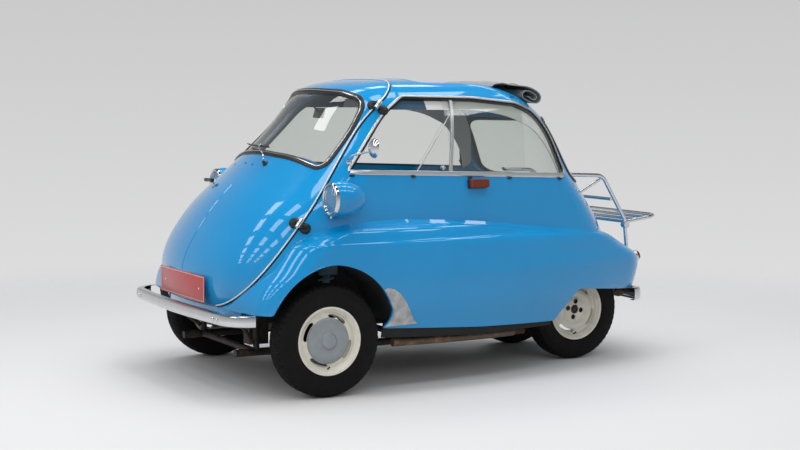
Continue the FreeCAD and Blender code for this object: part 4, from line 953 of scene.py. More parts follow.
def along_seam(shift: float) -> list[tuple[float, float]]:
    """Side outline of everything ahead of the door seam, moved back by a shift."""
    line, _ = through([(430, 235), (395, 300), (282, 477), (142, 662), (-30, 868),
                       (-218, 1093), (-318, 1198), (-414, 1277), (-452, 1312), (-500, 1348),
                       (-560, 1390)], SEAM_STEPS)
    line -= np.array([0.76, 0.65]) * shift  # square to the seam's slant
    return [tuple(p) for p in line] + [(-560, 1700), (900, 1700), (900, 235)]


WINDOW = eased([(-138, 941), (-368, 1206), (-470, 1268), (-850, 1262), (-1085, 1240),
                (-1218, 1195), (-1288, 1090), (-1336, 897)],
               [8, 400, 60, 0, 0, 160, 300, 30])
SCREEN = eased([(0, 1012), (268, 996), (464, 950), (380, 1254), (230, 1285), (0, 1292),
                (-230, 1285), (-380, 1254), (-464, 950), (-268, 996)],
               [1500, 900, 22, 105, 400, 1500, 400, 105, 22, 900])
REAR_LIGHT = eased([(-402, 866), (402, 866), (352, 1160), (-352, 1160)], [48, 48, 78, 78])
BOARD = eased([(40, 700), (-392, 1206), (-886, 1204), (-1048, 1174), (-1172, 1120),
               (-1242, 1040), (-1288, 960), (-1352, 700)],
              [0, 40, 700, 500, 150, 260, 400, 0])
ARCH_RADIUS = 305
ARCH_Z = 262


def arch_point(degrees: float) -> tuple[float, float]:
    """Point of the front wheel arch, which is a little tighter ahead of the wheel."""
    turn = math.radians(degrees)
    radius = ARCH_RADIUS - 30 * max(math.cos(turn), 0)
    return radius * math.cos(turn), ARCH_Z + radius * math.sin(turn)


ARCH = ([arch_point(a) for a in range(-30, 160, 2)]
        + [(-290, 364), (-291, 348), (-289, 332), (-284, 316), (-275, 301), (-262, 288),
           (-240, 270), (-200, 120), (240, 100)])
ROOF_HOLE = eased([(-1180, -300), (-600, -300), (-600, 300), (-1180, 300)], [50] * 4)
HATCH = eased([(-1240, 350), (-1020, 350), (-1020, 585), (-1240, 585)], [30] * 4)
LID = eased([(-1234, 356), (-1026, 356), (-1026, 579), (-1234, 579)], [25] * 4)
SILL = [(-1900, 0), (900, 0), (900, 280), (-200, 285), (-783, 247), (-1240, 229), (-1900, 200)]
SKIRT = [(-1240, 100), (-1240, 229), (-1368, 374), (-2300, 288), (-2300, 100)]


@dataclass
class Shell:
    """The pressed body: cabin, wings with the tail, engine hatch and front door."""

    cabin_wall: float = 26.0
    door_wall: float = 40.0
    wing_wall: float = 16.0
    gap: float = 7.0
    hem: float = 3.2
    seat_x: float = -600.0

    def __post_init__(self) -> None:
        """Makes the two forms that every skin comes from."""
        self.cabin = Form(CABIN_ROWS, 190, 2.0)
        self.wings = Form(WING_ROWS, 120, 1.0)

    def build(self) -> None:
        """Builds and dresses every panel."""
        self.make_cabin()
        self.make_wings()
        self.make_hatch()
        self.make_door()

    def hollow(self, form: Form, name: str, wall: float) -> Piece:
        """Closed shell of a form with a wall's thickness."""
        skin = form.solid(name, 0.0, 60.0)
        return carve(skin, form.solid("inner", wall, 90.0, INNER))

    def make_cabin(self) -> None:
        """Cabin behind the door seam, with its windows, rear light and roof hole cut."""
        skin = self.hollow(self.cabin, "cabin_skin", self.cabin_wall)
        for tool in (prism("seam", along_seam(self.gap / 2), Plane.SIDE, -900, 900),
                     slab("under", (-3000, -900, -200), (1500, 900, 300)),
                     slab("nose", (200, -900, -200), (900, 900, 359)),
                     slab("bay", (-3000, -900, -200), (-980, 900, 600)),
                     prism("left", WINDOW, Plane.SIDE, 200, 900),
                     prism("right", WINDOW, Plane.SIDE, -900, -200),
                     prism("rear", REAR_LIGHT, Plane.FRONT, -2100, -1250),
                     prism("roof", ROOF_HOLE, Plane.TOP, 1200, 1500),
                     prism("hatch", HATCH, Plane.SIDE, -900, -300),
                     drum("wheel", 0, ARCH_Z, ARCH_RADIUS + 8, 405, 900),
                     drum("wheel", 0, ARCH_Z, ARCH_RADIUS + 8, -900, -405)):
            carve(skin, tool)
        self.cabin_rims = rims(skin)
        valance = carve(self.hollow(self.cabin, "valance", self.cabin_wall),
                        slab("strip", (292, -900, 285), (900, 900, 363)), how="INTERSECT")
        boards = []
        for low, high in ((200, 900), (-900, -200)):
            board = carve(self.cabin.solid("board", 21.0, 90.0, INNER),
                          self.cabin.solid("inner", 27.0, 120.0, INNER))
            carve(board, prism("cut", WINDOW, Plane.SIDE, low, high), how="INTERSECT")
            carve(board, prism("cut", BOARD, Plane.SIDE, low, high))
            boards.append(board)
        # Inner faces ahead of the seat keep the dull teal lining, a painted shade; those behind it
        # take the pale grey.
        behind = at(self.seat_x, 0, 0).x
        skin.data.materials.append(None)
        for face in skin.data.polygons:
            if face.material_index == INNER and face.center.x < behind:
                face.material_index = 3
        dress(joined("cabin_skin", [skin, valance]),
              (Finishes.PAINT, Finishes.LINING, Finishes.PAINT, Finishes.HEADLINING), "body",
              ["cabin_shell"])
        lining = joined("window_boards", boards)
        for face in lining.data.polygons:
            face.material_index = 1 if face.center.x < behind else 0
        dress(lining, (Finishes.LINING, Finishes.HEADLINING), "body")

    def make_wings(self) -> None:
        """Wings, flanks and tail in one skin outside the cabin."""
        skin = self.hollow(self.wings, "wing_skin", self.wing_wall)
        core = self.cabin.solid("core", -0.3, 90.0, EDGE)
        carve(skin, carve(core, slab("tail", (-2100, -900, -200), (-1300, 900, 450))))
        grown = self.cabin.solid("door_clearance", -self.gap - 0.5, 90.0, EDGE)
        carve(grown, prism("seam", along_seam(self.gap / 2), Plane.SIDE, -900, 900),
              how="INTERSECT")
        carve(grown, slab("below", (200, -900, -200), (900, 900, 359)))
        carve(skin, grown)
        for tool in (prism("sill", SILL, Plane.SIDE, -900, 900),
                     prism("skirt", SKIRT, Plane.SIDE, -900, 900),
                     slab("well", (200, -900, -100), (900, 900, 363)),
                     prism("arch", ARCH, Plane.SIDE, 405, 900),
                     prism("arch", ARCH, Plane.SIDE, -900, -405),
                     prism("hatch", HATCH, Plane.SIDE, -900, -300)):
            carve(skin, tool)
        hems = [moulding("hem", even(loop, 6.0), self.wings,
                         bead(self.hem, 0, -self.hem + 0.8)) for loop in rims(skin)]
        dress(joined("wing_skin", [skin, *hems, *self.coves()]),
              (Finishes.PAINT, Finishes.WELL, Finishes.PAINT), "body",
              ["left_side_panel", "right_side_panel", "tail_panel"])

    def crease(self) -> np.ndarray:
        """Line where the wings meet the cabin, from the left seam round the tail."""
        spots = []
        seam = along_seam(self.gap / 2)[:SEAM_STEPS]
        for x in np.arange(120, -1500, -12.0):
            for z in np.arange(724, 420, -3.0):
                try:
                    wing = self.wings.side(x, z)[0]
                    cabin = self.cabin.side(x, z)[0]
                except ValueError:
                    continue
                if wing.y >= cabin.y:
                    ahead = max((s for s in seam if s[1] <= z), key=lambda s: s[1],
                                default=(900, 0))[0]
                    if x < ahead - 6:
                        spots.append(tuple(cabin))
                    break
        return np.array(spots)

    def coves(self, reach: float = 20.0, steps: int = 12) -> list[Piece]:
        """Soft coves that run the wing tops into the cabin's flanks."""
        line = even(self.crease(), 12.0, closed=False, rounds=30)
        made = []
        for sign in (1, -1):
            rows = []
            for i, spot in enumerate(line):
                here = Vector(spot)
                ahead = Vector(line[min(i + 1, len(line) - 1)])
                behind = Vector(line[max(i - 1, 0)])
                along = (ahead - behind).normalized()
                fade = min(1.0, (len(line) - 1 - i) / 14 + 0.05, i / 6 + 0.3)
                size = reach * MM * fade
                n1, n2 = self.cabin.nearest(here)[1], self.wings.nearest(here)[1]
                d1, d2 = along.cross(n1).normalized(), along.cross(n2).normalized()
                d1 = d1 if d1.dot(n2) > 0 else -d1
                d2 = d2 if d2.dot(n1) > 0 else -d2
                p, np_ = self.cabin.nearest(here + d1 * size)
                q, nq = self.wings.nearest(here + d2 * size)
                d1 = (d1 - np_ * d1.dot(np_)).normalized()
                d2 = (d2 - nq * d2.dot(nq)).normalized()
                pull = (p - q).length * 0.4
                a, b = p - d1 * pull, q - d2 * pull
                row = []
                for k in range(steps + 1):
                    t = k / steps
                    row.append(p * (1 - t) ** 3 + a * 3 * t * (1 - t) ** 2
                               + b * 3 * t * t * (1 - t) + q * t ** 3)
                row[0] = row[0] - np_ * 0.0001
                row[-1] = row[-1] - nq * 0.0001
                row += [q - nq * 0.004, p - np_ * 0.004]
                rows.append([(v.x, sign * v.y, v.z) for v in row])
            made.append(swept("cove", np.array(rows)))
        return made

    def make_hatch(self) -> None:
        """Engine hatch of the right flank, with its hinge barrels and turn button."""
        skin = self.hollow(self.wings, "hatch_skin", 12)
        carve(skin, self.cabin.solid("core", -0.3, 90.0, EDGE))
        carve(skin, prism("lid", LID, Plane.SIDE, -900, -300), how="INTERSECT")
        parts = [skin]
        top = [self.wings.side(x, 585, False)[0] for x in (-1236, -1024)]
        line = [p + Vector((0, -7, -3)) * MM for p in top]
        for a, b in ((0.06, 0.3), (0.7, 0.94)):
            parts.append(bar("barrel", [line[0].lerp(line[1], t) for t in (a, b)], 5.0,
                             sides=24))
        spot, normal = self.wings.side(-1130, 392, False)
        button = turned("button", [(0, 4), (9, 4), (11, 3), (12, 0), (12, -3), (0, -3)], 32,
                        EDGE)
        parts.append(aim(button, spot, normal))
        whole = joined("hatch_skin", parts)
        dress(whole, (Finishes.PAINT, Finishes.WELL, Finishes.PAINT), "engine_lid",
              ["engine_lid"])

    def make_door(self) -> None:
        """Front door: the nose ahead of the seam, with the screen opening cut."""
        skin = self.hollow(self.cabin, "door_skin", self.door_wall)
        carve(skin, prism("seam", along_seam(-self.gap / 2), Plane.SIDE, -900, 900),
              how="INTERSECT")
        for tool in (slab("under", (-3000, -900, -200), (1500, 900, 366)),
                     prism("screen", SCREEN, Plane.FRONT, -620, 600)):
            carve(skin, tool)
        self.door_rims = rims(skin)
        # The door's inner faces take the dull teal lining, a painted shade.
        dress(skin, (Finishes.PAINT, Finishes.LINING, Finishes.PAINT), "door",
              ["front_door"])


@dataclass
class Glazing:
    """Windscreen and rear light glass."""

    shell: Shell
    inset: float = 8.0
    thick: float = 5.0

    def build(self) -> None:
        """Builds and dresses the glass."""
        cabin = self.shell.cabin
        outer = cabin.solid("glass", self.inset, 90.0, OUTER)
        carve(outer, cabin.solid("inner", self.inset + self.thick, 120.0, OUTER))
        for name, outline, low, high, body, node in (
                ("windscreen_glass", SCREEN, -620, 700, "door", "windscreen"),
                ("rear_light_glass", REAR_LIGHT, -2100, -1250, "body", "rear_window")):
            pane = outer.copy()
            pane.data = outer.data.copy()
            bpy.context.scene.collection.objects.link(pane)
            pane.name = name
            carve(pane, prism("cut", outline, Plane.FRONT, low, high), how="INTERSECT")
            if body == "door":
                edge = along_seam(-self.shell.gap / 2)
                carve(pane, prism("seam", edge, Plane.SIDE, -900, 900), how="INTERSECT")
            dress(pane, (Finishes.SHADED,) * 3, body, [node])
        bpy.data.objects.remove(outer)


# ------------------------------------------------------------------ trims
def loop_near(loops: list[np.ndarray], spot: Vector) -> np.ndarray:
    """The loop whose middle is nearest a point."""
    return min(loops, key=lambda l: (Vector((l.max(0) + l.min(0)) / 2) - spot).length)


def stretch(path: np.ndarray, keep: Callable[[np.ndarray], bool]) -> np.ndarray:
    """The longest unbroken run of a closed path whose points pass a test."""
    marks = [bool(keep(p)) for p in path]
    if all(marks):
        return path
    start = next(i for i in range(len(path)) if marks[i] and not marks[i - 1])
    order = [(start + i) % len(path) for i in range(len(path))]
    best: list[int] = []
    run: list[int] = []
    for i in order:
        if marks[i]:
            run.append(i)
            best = run if len(run) > len(best) else best
        else:
            run = []
    return path[list(best)]


@dataclass
class Trims:
    """Rubbers, bright strips and beads round the panels' openings."""

    shell: Shell

    def build(self) -> None:
        """Builds and dresses every strip."""
        self.screen()
        self.seam()
        for sign in (1, -1):
            self.side_window(sign)
        self.rear_light()
        self.roof()
        self.nose_ridge()

    def screen(self) -> None:
        """Wide black rubber round the windscreen with a chrome insert in it."""
        cabin = self.shell.cabin
        loop = even(loop_near(self.shell.door_rims[1:], at(-150, 0, 1140)), 6)
        rubber = moulding("screen_rubber", loop, cabin, [
            (-12, -1), (-12.5, 1.5), (-11, 4), (-7, 5.6), (-1, 6.2), (3.2, 5.2), (4, 3.6),
            (7, 3.6), (7.8, 5), (12, 4), (16, 0), (18.5, -5), (18.5, -8), (12, -9.5),
            (4, -14), (1.2, -14), (1.0, -1)])
        dress(rubber, (Finishes.SEAL,), "door")
        insert = moulding("screen_insert", loop, cabin, bead(2.7, 5.5, 5.0, 10, 0.8))
        dress(insert, (Finishes.CHROME,), "door")

    def seam(self) -> None:
        """Rubber in the door gap and the pale bead beside it, whose paleness is a painted
        highlight.
        """
        loop = stretch(even(self.shell.door_rims[0], 6), lambda p: p[2] > 0.369)
        side = 1.0 if self.inner_side(loop) else -1.0
        rubber = moulding("door_seal", loop, self.shell.cabin, [
            (s * side, u) for s, u in ((0.6, -2.2), (-1.6, -1.2), (-4.2, -1.2), (-5.6, -3),
                                       (-5.6, -14), (0.6, -14))], closed=False)
        dress(rubber, (Finishes.SEAL,), "door")
        line = moulding("door_bead", loop, self.shell.cabin, bead(3.6, 2.0 * side, 2.2, 12),
                        closed=False)
        dress(line, (Finishes.BEAD,), "door")

    def inner_side(self, loop: np.ndarray) -> bool:
        """Whether sideways along an open seam points ahead, onto the door."""
        i = len(loop) // 8
        along = Vector(loop[i + 1] - loop[i - 1])
        up = self.shell.cabin.nearest(Vector(loop[i]))[1]
        return up.cross(along).x > 0

    @staticmethod
    def sill_z(x: float) -> float:
        """Height of the side windows' straight lower edge, which falls to the rear."""
        return 941 + (x + 146) / 1190 * 44

    def side_window(self, sign: int) -> None:
        """Bright frame, rubbers, sill strip with its catches, post and panes."""
        side = "left" if sign > 0 else "right"
        cabin = self.shell.cabin
        edge = loop_near(self.shell.cabin_rims[1:], at(-740, sign * 530, 1080))
        loop = even(edge, 6)

        def sill(p: np.ndarray) -> bool:
            """Whether a point lies on the straight lower edge."""
            x = (p[0] - AXLE) / MM
            return p[2] / MM < self.sill_z(x) + 4 and -1318 < x < -146

        upper = stretch(loop, lambda p: not sill(p))
        bright = moulding(f"{side}_window_frame", upper, cabin, [
            (-7, -1), (-7.5, 1), (-5, 2.8), (0, 3.4), (4, 2.4), (5, 0.5), (5, -7), (0.8, -7),
            (0.6, -1)], closed=False)
        dress(bright, (Finishes.TRIM,), "body")
        lower = stretch(loop, sill)
        strip = moulding(f"{side}_sill_strip", lower, cabin, [
            (-13, -0.8), (-14, 0.8), (-12, 3.4), (-4, 5.2), (5, 4.2), (8, 1.5), (8, -8),
            (0.8, -8), (0.6, -0.8)], closed=False)
        dress(strip, (Finishes.TRIM,), "body")
        marks = []
        for x in (-156, -459, -762, -985, -1278):
            spot, normal = cabin.side(x, self.sill_z(x) - 14, sign > 0)
            plug = rounded_box("plug", Vector((-0.011, -0.0035, -0.003)),
                               Vector((0.011, 0.0035, 0.004)), 1.5, 2)
            marks.append(aim(plug, spot + normal * 0.0035, normal))
        dress(joined(f"{side}_sill_plugs", marks), (Finishes.SEAL,), "body")
        channel = moulding(f"{side}_window_rubber", loop, cabin, [
            (0.8, -4), (5, -3.4), (9, -5), (10.5, -8), (10.5, -20.5), (0.8, -20.5)])
        dress(channel, (Finishes.SEAL,), "body")
        rear = stretch(loop, lambda p: (p[0] - AXLE) / MM < -1075 and not sill(p))
        band = moulding(f"{side}_rear_rubber", rear, cabin, [
            (2, -2.5), (12, -2.0), (26, -3.0), (36, -5), (38, -6.2), (36, -7.2), (2, -7.6)],
            closed=False)
        dress(band, (Finishes.SEAL,), "body")
        self.panes(sign, side)

    def panes(self, sign: int, side: str) -> None:
        """Fixed rear pane, sliding pane, the post between them and the knob."""
        cabin = self.shell.cabin
        low, high = (200, 900) if sign > 0 else (-900, -200)
        fixed = [(-680, 800), (-680, 1400), (-1500, 1400), (-1500, 800)]
        slid = [(-352, 800), (-883, 1400), (-1150, 1400), (-1075, 800)]
        shut = [(-60, 800), (-60, 1400), (-720, 1400), (-720, 800)]
        made = []
        for rows, inset in ((fixed, 8.0), (slid if sign > 0 else shut, 15.0)):
            pane = cabin.solid("pane", inset, 90.0, OUTER)
            carve(pane, cabin.solid("inner", inset + 5.0, 120.0, OUTER))
            carve(pane, prism("cut", WINDOW, Plane.SIDE, low, high), how="INTERSECT")
            carve(pane, prism("cut", rows, Plane.SIDE, low, high), how="INTERSECT")
            made.append(pane)
        glass = joined(f"{side}_window_glass", made)
        dress(glass, (Finishes.GLASS, Finishes.GLASS, Finishes.GLASS_EDGE), "body",
              ["side_windows"] if sign > 0 else [])
        between = [cabin.side(-671 - (z - 946) * 0.208, z, sign > 0)
                   for z in range(922, 1256, 22)]
        path = np.array([tuple(p - n * 0.010) for p, n in between])
        post = moulding("post", path, cabin, [
            (-8, -6), (-8.5, 0), (-7, 3), (7, 3), (8.5, 0), (8, -6)], closed=False)
        rake = [cabin.side(-500 - (z - 949) * 0.884 if sign > 0 else -720, z, sign > 0)
                for z in range(930, 1252, 20)]
        edge = bar("edge", [p - n * 0.0175 for p, n in rake], 2.6, sides=12)
        dress(joined(f"{side}_window_post", [post, edge]), (Finishes.TRIM,), "body")
        spot, normal = cabin.side(-622, 952, sign > 0)
        knob = turned("knob", [(0, 15), (6, 14.5), (9, 11), (9.5, 7), (7, 3), (4, 1), (4, -9),
                               (0, -9)], 32)
        knob = aim(knob, spot - normal * 0.004, normal)
        ring = turned("ring", [(0, 0.5), (11, 0.5), (12, -2), (11, -6), (0, -6)], 32)
        ring = aim(ring, spot - normal * 0.004, normal)
        dress(joined(f"{side}_window_knob", [knob, ring]), (Finishes.CHROME,), "body")

    def rear_light(self) -> None:
        """Rubber and insert round the rear light."""
        loop = even(loop_near(self.shell.cabin_rims[1:], at(-1500, 0, 1020)), 6)
        rubber = moulding("rear_light_rubber", loop, self.shell.cabin, [
            (-11, -1), (-11.5, 1.5), (-9, 4.5), (-2, 6), (3, 5), (4, 3.6), (7, 3.6), (8, 4.6),
            (13, 2), (16, -4), (16, -8), (6, -14), (1.2, -14), (1.0, -1)])
        dress(rubber, (Finishes.SEAL,), "body")
        insert = moulding("rear_light_insert", loop, self.shell.cabin,
                          bead(2.5, 5.5, 4.6, 10, 0.8))
        dress(insert, (Finishes.CHROME,), "body")

    def roof(self) -> None:
        """Painted rim round the roof opening."""
        loop = even(loop_near(self.shell.cabin_rims[1:], at(-890, 0, 1320)), 6)
        rim = moulding("roof_rim", loop, self.shell.cabin, [
            (-9, -0.8), (-8, 0.2), (-5, 1.0), (-1, 1.4), (2.6, 0.6), (3.6, -4), (3.6, -26),
            (0.8, -26), (0.8, -0.8)])
        dress(rim, (Finishes.PAINT,), "body")

    def nose_ridge(self) -> None:
        """Pressed ridge down the middle of the nose."""
        spots = [self.shell.cabin.front(0.0, z)[0] for z in np.arange(866, 494, -8.0)]
        path = np.array([tuple(p) for p in spots])
        ridge = moulding("nose_ridge", path, self.shell.cabin, [
            (-10, -0.7), (-6, 0.5), (-2.8, 2.3), (0, 3.1), (2.8, 2.3), (6, 0.5),
            (10, -0.7)], closed=False)
        dress(ridge, (Finishes.PAINT,), "door", angle=60)


# ------------------------------------------------------------------ fittings
def on_skin(obj: Piece, spot: Vector, normal: Vector, up: Vector = Vector((0, 0, 1))) -> Piece:
    """Stands a piece on a face: its +Z goes along the normal and its +Y goes up."""
    z = Vector(normal).normalized()
    x = Vector(up).cross(z).normalized()
    turn = Matrix((x, z.cross(x), z)).transposed().to_4x4()
    obj.matrix_world = Matrix.Translation(spot) @ turn
    return settle(obj)


@dataclass
class Lamps:
    """Headlamps on the flanks, side lamps and tail lamps."""

    shell: Shell
    lamp_x: float = -14.0
    lamp_z: float = 834.0
    stand: float = 52.0

    def build(self) -> None:
        """Builds and dresses the lamps."""
        shells, rings, bowls, lenses = [], [], [], []
        for left in (True, False):
            skin, normal = self.shell.cabin.side(self.lamp_x - 60, self.lamp_z, left)
            sign = 1 if left else -1
            spot = at(self.lamp_x, skin.y / MM + sign * self.stand, self.lamp_z)
            parts = self.bullet(spot)
            neck = bar("neck", [spot + Vector((-0.075, -sign * 0.02, -0.01)),
                                spot + Vector((-0.085, -sign * 0.085, -0.016))], 27.0,
                       sides=32)
            shells += [parts[0], neck]
            rings.append(parts[1])
            bowls.append(parts[2])
            lenses.append(parts[3])
            screw = rounded_box("screw", Vector((-0.004, -0.004, -0.006)),
                                Vector((0.004, 0.004, 0.004)), 1.5, 2)
            screw.location = spot + Vector((-0.002, 0, -0.073))
            rings.append(settle(screw))
        dress(joined("headlamp_shells", shells), (Finishes.PAINT,), "body",
              ["headlights"], 40)
        dress(joined("headlamp_rings", rings), (Finishes.CHROME,), "body")
        dress(joined("headlamp_bowls", bowls), (Finishes.REFLECTOR,), "body", (), 12)
        dress(joined("headlamp_lenses", lenses), (Finishes.LAMP_GLASS,), "body")
        self.side_lamps()
        self.tail_lamps()

    def bullet(self, spot: Vector) -> list[Piece]:
        """Shell, ring, reflector and lens of one headlamp, looking ahead."""
        ahead = Vector((1, 0, 0))
        body = turned("shell", [(0, -8), (64, -8), (70, -9.5), (72.6, -16), (75, -30), (76, -46),
                                (75, -64), (72, -82), (67.5, -98), (61.5, -113), (54, -127),
                                (45, -140), (35, -151), (24, -160), (12.5, -166),
                                (4, -168.6), (0, -169)], 72)
        ring = turned("ring", [(60, -5), (59, 0), (61, 3.5), (65, 4.5), (68.8, 2.5), (71.4, -2),
                               (72.6, -8), (71, -11), (66, -10), (62, -8), (60, -5)], 72)
        bowl = turned("bowl", [(0, -52), (9, -51.4), (18, -49), (27, -45), (36, -38.5),
                               (45, -30), (53, -20), (59, -9), (61, -6), (61, -8),
                               (54, -23), (45, -34), (36, -43), (27, -50), (0, -58)], 36)
        bulb = turned("bulb", [(0, -22), (8, -23), (12, -27), (12, -34), (7, -37), (7, -50),
                               (0, -50)], 32)
        lens = turned("lens", [(0, 21), (14, 20), (28, 16.8), (40, 11.6), (50, 5.6), (57, 0),
                               (61, -4), (58, -5), (50, 1.8), (40, 8), (28, 13.4),
                               (14, 16.6), (0, 17.6)], 72)
        return [aim(body, spot, ahead), aim(ring, spot, ahead),
                joined("bowl", [aim(bowl, spot, ahead), aim(bulb, spot, ahead)]),
                aim(lens, spot, ahead)]

    def side_lamps(self) -> None:
        """Amber lamp under each side window, on a rubber foot."""
        lenses, feet = [], []
        for left in (True, False):
            spot, normal = self.shell.cabin.side(-801, 876, left)
            lens = rounded_box("lens", Vector((-0.051, -0.019, 0.004)),
                               Vector((0.051, 0.019, 0.031)), 8.0, 5)
            lenses.append(on_skin(lens, spot, normal))
            for x in np.arange(-0.040, 0.041, 0.008):
                rib = rounded_box("rib", Vector((x - 0.0016, -0.0175, 0.022)),
                                  Vector((x + 0.0016, 0.0175, 0.0322)), 1.0, 2)
                lenses.append(on_skin(rib, spot, normal))
            foot = rounded_box("foot", Vector((-0.053, -0.021, -0.004)),
                               Vector((0.053, 0.021, 0.006)), 3.0, 3)
            feet.append(on_skin(foot, spot, normal))
        dress(joined("side_lamp_lenses", lenses), (Finishes.AMBER,), "body",
              ["side_lamps"])
        dress(joined("side_lamp_feet", feet), (Finishes.SEAL,), "body")

    def tail_lamps(self) -> None:
        """Round red lamp on each side of the tail, in a chrome ring."""
        lenses, rings = [], []
        for sign in (1, -1):
            spot, normal = self.shell.wings.meet(at(-2600, sign * 300, 486), Vector((1, 0, 0)))
            lens = turned("lens", [(0, 19), (8, 18.4), (15, 16.4), (20, 13), (23, 8.5),
                                   (24, 4), (24, 0), (0, 0)], 48)
            ring = turned("ring", [(22, 1), (24.5, 6), (26.5, 5), (28, 1), (28, -6), (22, -6),
                                   (22, 1)], 48)
            lenses.append(aim(lens, spot, normal))
            rings.append(aim(ring, spot, normal))
        dress(joined("tail_lamp_lenses", lenses), (Finishes.RED,), "body",
              ["tail_lamps"])
        dress(joined("tail_lamp_rings", rings), (Finishes.CHROME,), "body")


@dataclass
class Fittings:
    """Mirror, wiper, handle, hinges, bumpers, plates, stone guards and nose holes."""

    shell: Shell

    def build(self) -> None:
        """Builds and dresses the fittings."""
        self.mirror()
        self.wiper()
        self.handle()
        self.hinges()
        self.bumpers()
        self.plates()
        self.guards()
        self.vents()

    def mirror(self) -> None:
        """Round mirror on a bent stem at the left window's front corner."""
        spot, normal = self.shell.cabin.side(-161, 981)
        head = at(-213, 629, 1047)
        foot = turned("foot", [(0, 13), (6, 12.5), (10, 9), (14, 4), (15, 0), (15, -4),
                               (0, -4)], 32)
        stem = bar("stem", [spot + normal * 0.008, spot + normal * 0.03 + Vector((0, 0, 0.012)),
                            spot + Vector((-0.012, 0.06, 0.038)), head + Vector((0.004, 0, -0.01))],
                   4.5, sides=24)
        back = turned("cup", [(0, 15), (13, 14), (25, 10.5), (34, 5), (40, -1.5), (43, -7),
                              (43, -10), (40.5, -10), (39.5, -8.5), (0, -8.5)], 64)
        ball = turned("ball", [(0, 9), (6, 7), (9, 0), (6, -7), (0, -9)], 24)
        way = Vector((0.99, -0.08, 0.05)).normalized()
        metal = [aim(foot, spot, normal), stem, aim(back, head, way),
                 aim(ball, head + way * 0.012, way)]
        dress(joined("mirror_shell", metal), (Finishes.CHROME,), "body",
              ["wing_mirror"])
        face = turned("mirror_face", [(0, -9), (39.5, -9), (39.5, -9.8), (0, -9.8)], 64)
        dress(aim(face, head, way), (Finishes.MIRROR,), "body")

    def wiper(self) -> None:
        """Wiper at rest along the foot of the screen."""
        cabin = self.shell.cabin
        pivot, out = cabin.front(128, 963)
        nut = turned("nut", [(0, 19), (5, 18.5), (7, 16), (7.5, 9), (9, 7), (13, 4), (14, 0),
                             (14, -5), (0, -5)], 32)
        cap = aim(nut, pivot, out)
        dress(cap, (Finishes.BLACK,), "door", (), 40)
        tip, up = cabin.front(-10, 1030)
        tip = tip + up * 0.019
        arm = bar("arm", [pivot + out * 0.014, pivot + out * 0.022 + Vector((-0.01, -0.008, 0.03)),
                          pivot.lerp(tip, 0.6) + out * 0.03, tip], 2.6, sides=16)
        clip = rounded_box("clip", Vector((-0.006, -0.012, -0.004)),
                           Vector((0.006, 0.012, 0.006)), 2.0, 3)
        clip = on_skin(clip, tip, up, Vector((0, 1, 0)))
        dress(joined("wiper_arm", [arm, clip]), (Finishes.CHROME,), "door",
              ["wiper"])
        backs, rubbers = [], []
        for y in np.linspace(-285, 62, 24):
            spot, normal = cabin.front(float(y), 1030)
            backs.append(spot + normal * 0.0125)
            rubbers.append(spot + normal * 0.0055)
        spine = bar("wiper_blade", backs, 3.4, sides=12)
        lip = bar("lip", rubbers, 2.2, sides=12)
        dress(joined("wiper_blade", [spine, lip]), (Finishes.BLACK,), "door")

    def handle(self) -> None:
        """Turning handle on the right of the nose, black grip on a chrome boss."""
        spot, normal = self.shell.cabin.front(-330, 861)
        boss = turned("boss", [(0, 20), (6, 19.5), (7.5, 17), (8, 8), (12, 5.5), (15, 2),
                               (16, -3), (0, -3)], 40)
        boss = aim(boss, spot, normal)
        root = spot + normal * 0.019
        arm = bar("arm", [root, root + Vector((0.012, 0.0, 0.0)),
                          root + Vector((0.017, 0.012, 0.0))], 4.5, sides=24)
        dress(joined("handle_boss", [boss, arm]), (Finishes.CHROME,), "door",
              ["door_handle"])
        grip = turned("handle_grip", [(0, -28), (5, -27), (8.4, -23), (9.2, -16), (8.4, -4),
                                      (7.6, 20), (8.4, 46), (10, 64), (10.4, 74), (8.8, 82),
                                      (5, 86.5), (0, 87.5)], 40)
        aim(grip, root + Vector((0.020, 0.002, -0.004)), Vector((0.08, 1.0, 0.03)))
        dress(grip, (Finishes.BLACK,), "door")

    def hinges(self) -> None:
        """Two outside hinges of the door: rubber-booted plates and bright barrels."""
        cabin = self.shell.cabin
        low, high = Vector((0.88024, 0.58552, 0.735)), Vector((0.435240, 0.44616, 1.229))
        axis = (high - low).normalized()
        pads = {"body": [], "door": []}
        metal = {"body": [], "door": []}
        for pin in (low, high):
            face, normal = cabin.nearest(pin)
            across = normal.cross(axis).normalized()
            if across.x < 0:
                across = -across
            for body, way in (("door", 1), ("body", -1)):
                seat, out = cabin.nearest(face + across * way * 0.026)
                pad = turned("pad", [(0, 17), (10, 16.6), (17, 14), (22, 8.5), (24, 2),
                                     (24, -3), (0, -3)], 40)
                pads[body].append(aim(pad, seat, out))
                offset = axis * (0.014 if body == "door" else -0.014)
                bend = seat.lerp(pin, 0.45) + out * 0.014 + offset * 0.5
                pads[body].append(bar("lug", [seat + out * 0.010, bend, pin + offset], 7.5,
                                      sides=20))
                barrel = bar("barrel", [pin + offset * 0.12, pin + offset * 1.55], 10.5,
                             sides=32)
                metal[body].append(barrel)
        slots = {"body": ["hinge_posts"], "door": ["hinge_arms"]}
        for body in ("body", "door"):
            dress(joined(f"hinge_pads_{body}", pads[body]), (Finishes.SEAL,), body)
            dress(joined(f"hinge_barrels_{body}", metal[body]), (Finishes.CHROME,), body,
                  slots[body])

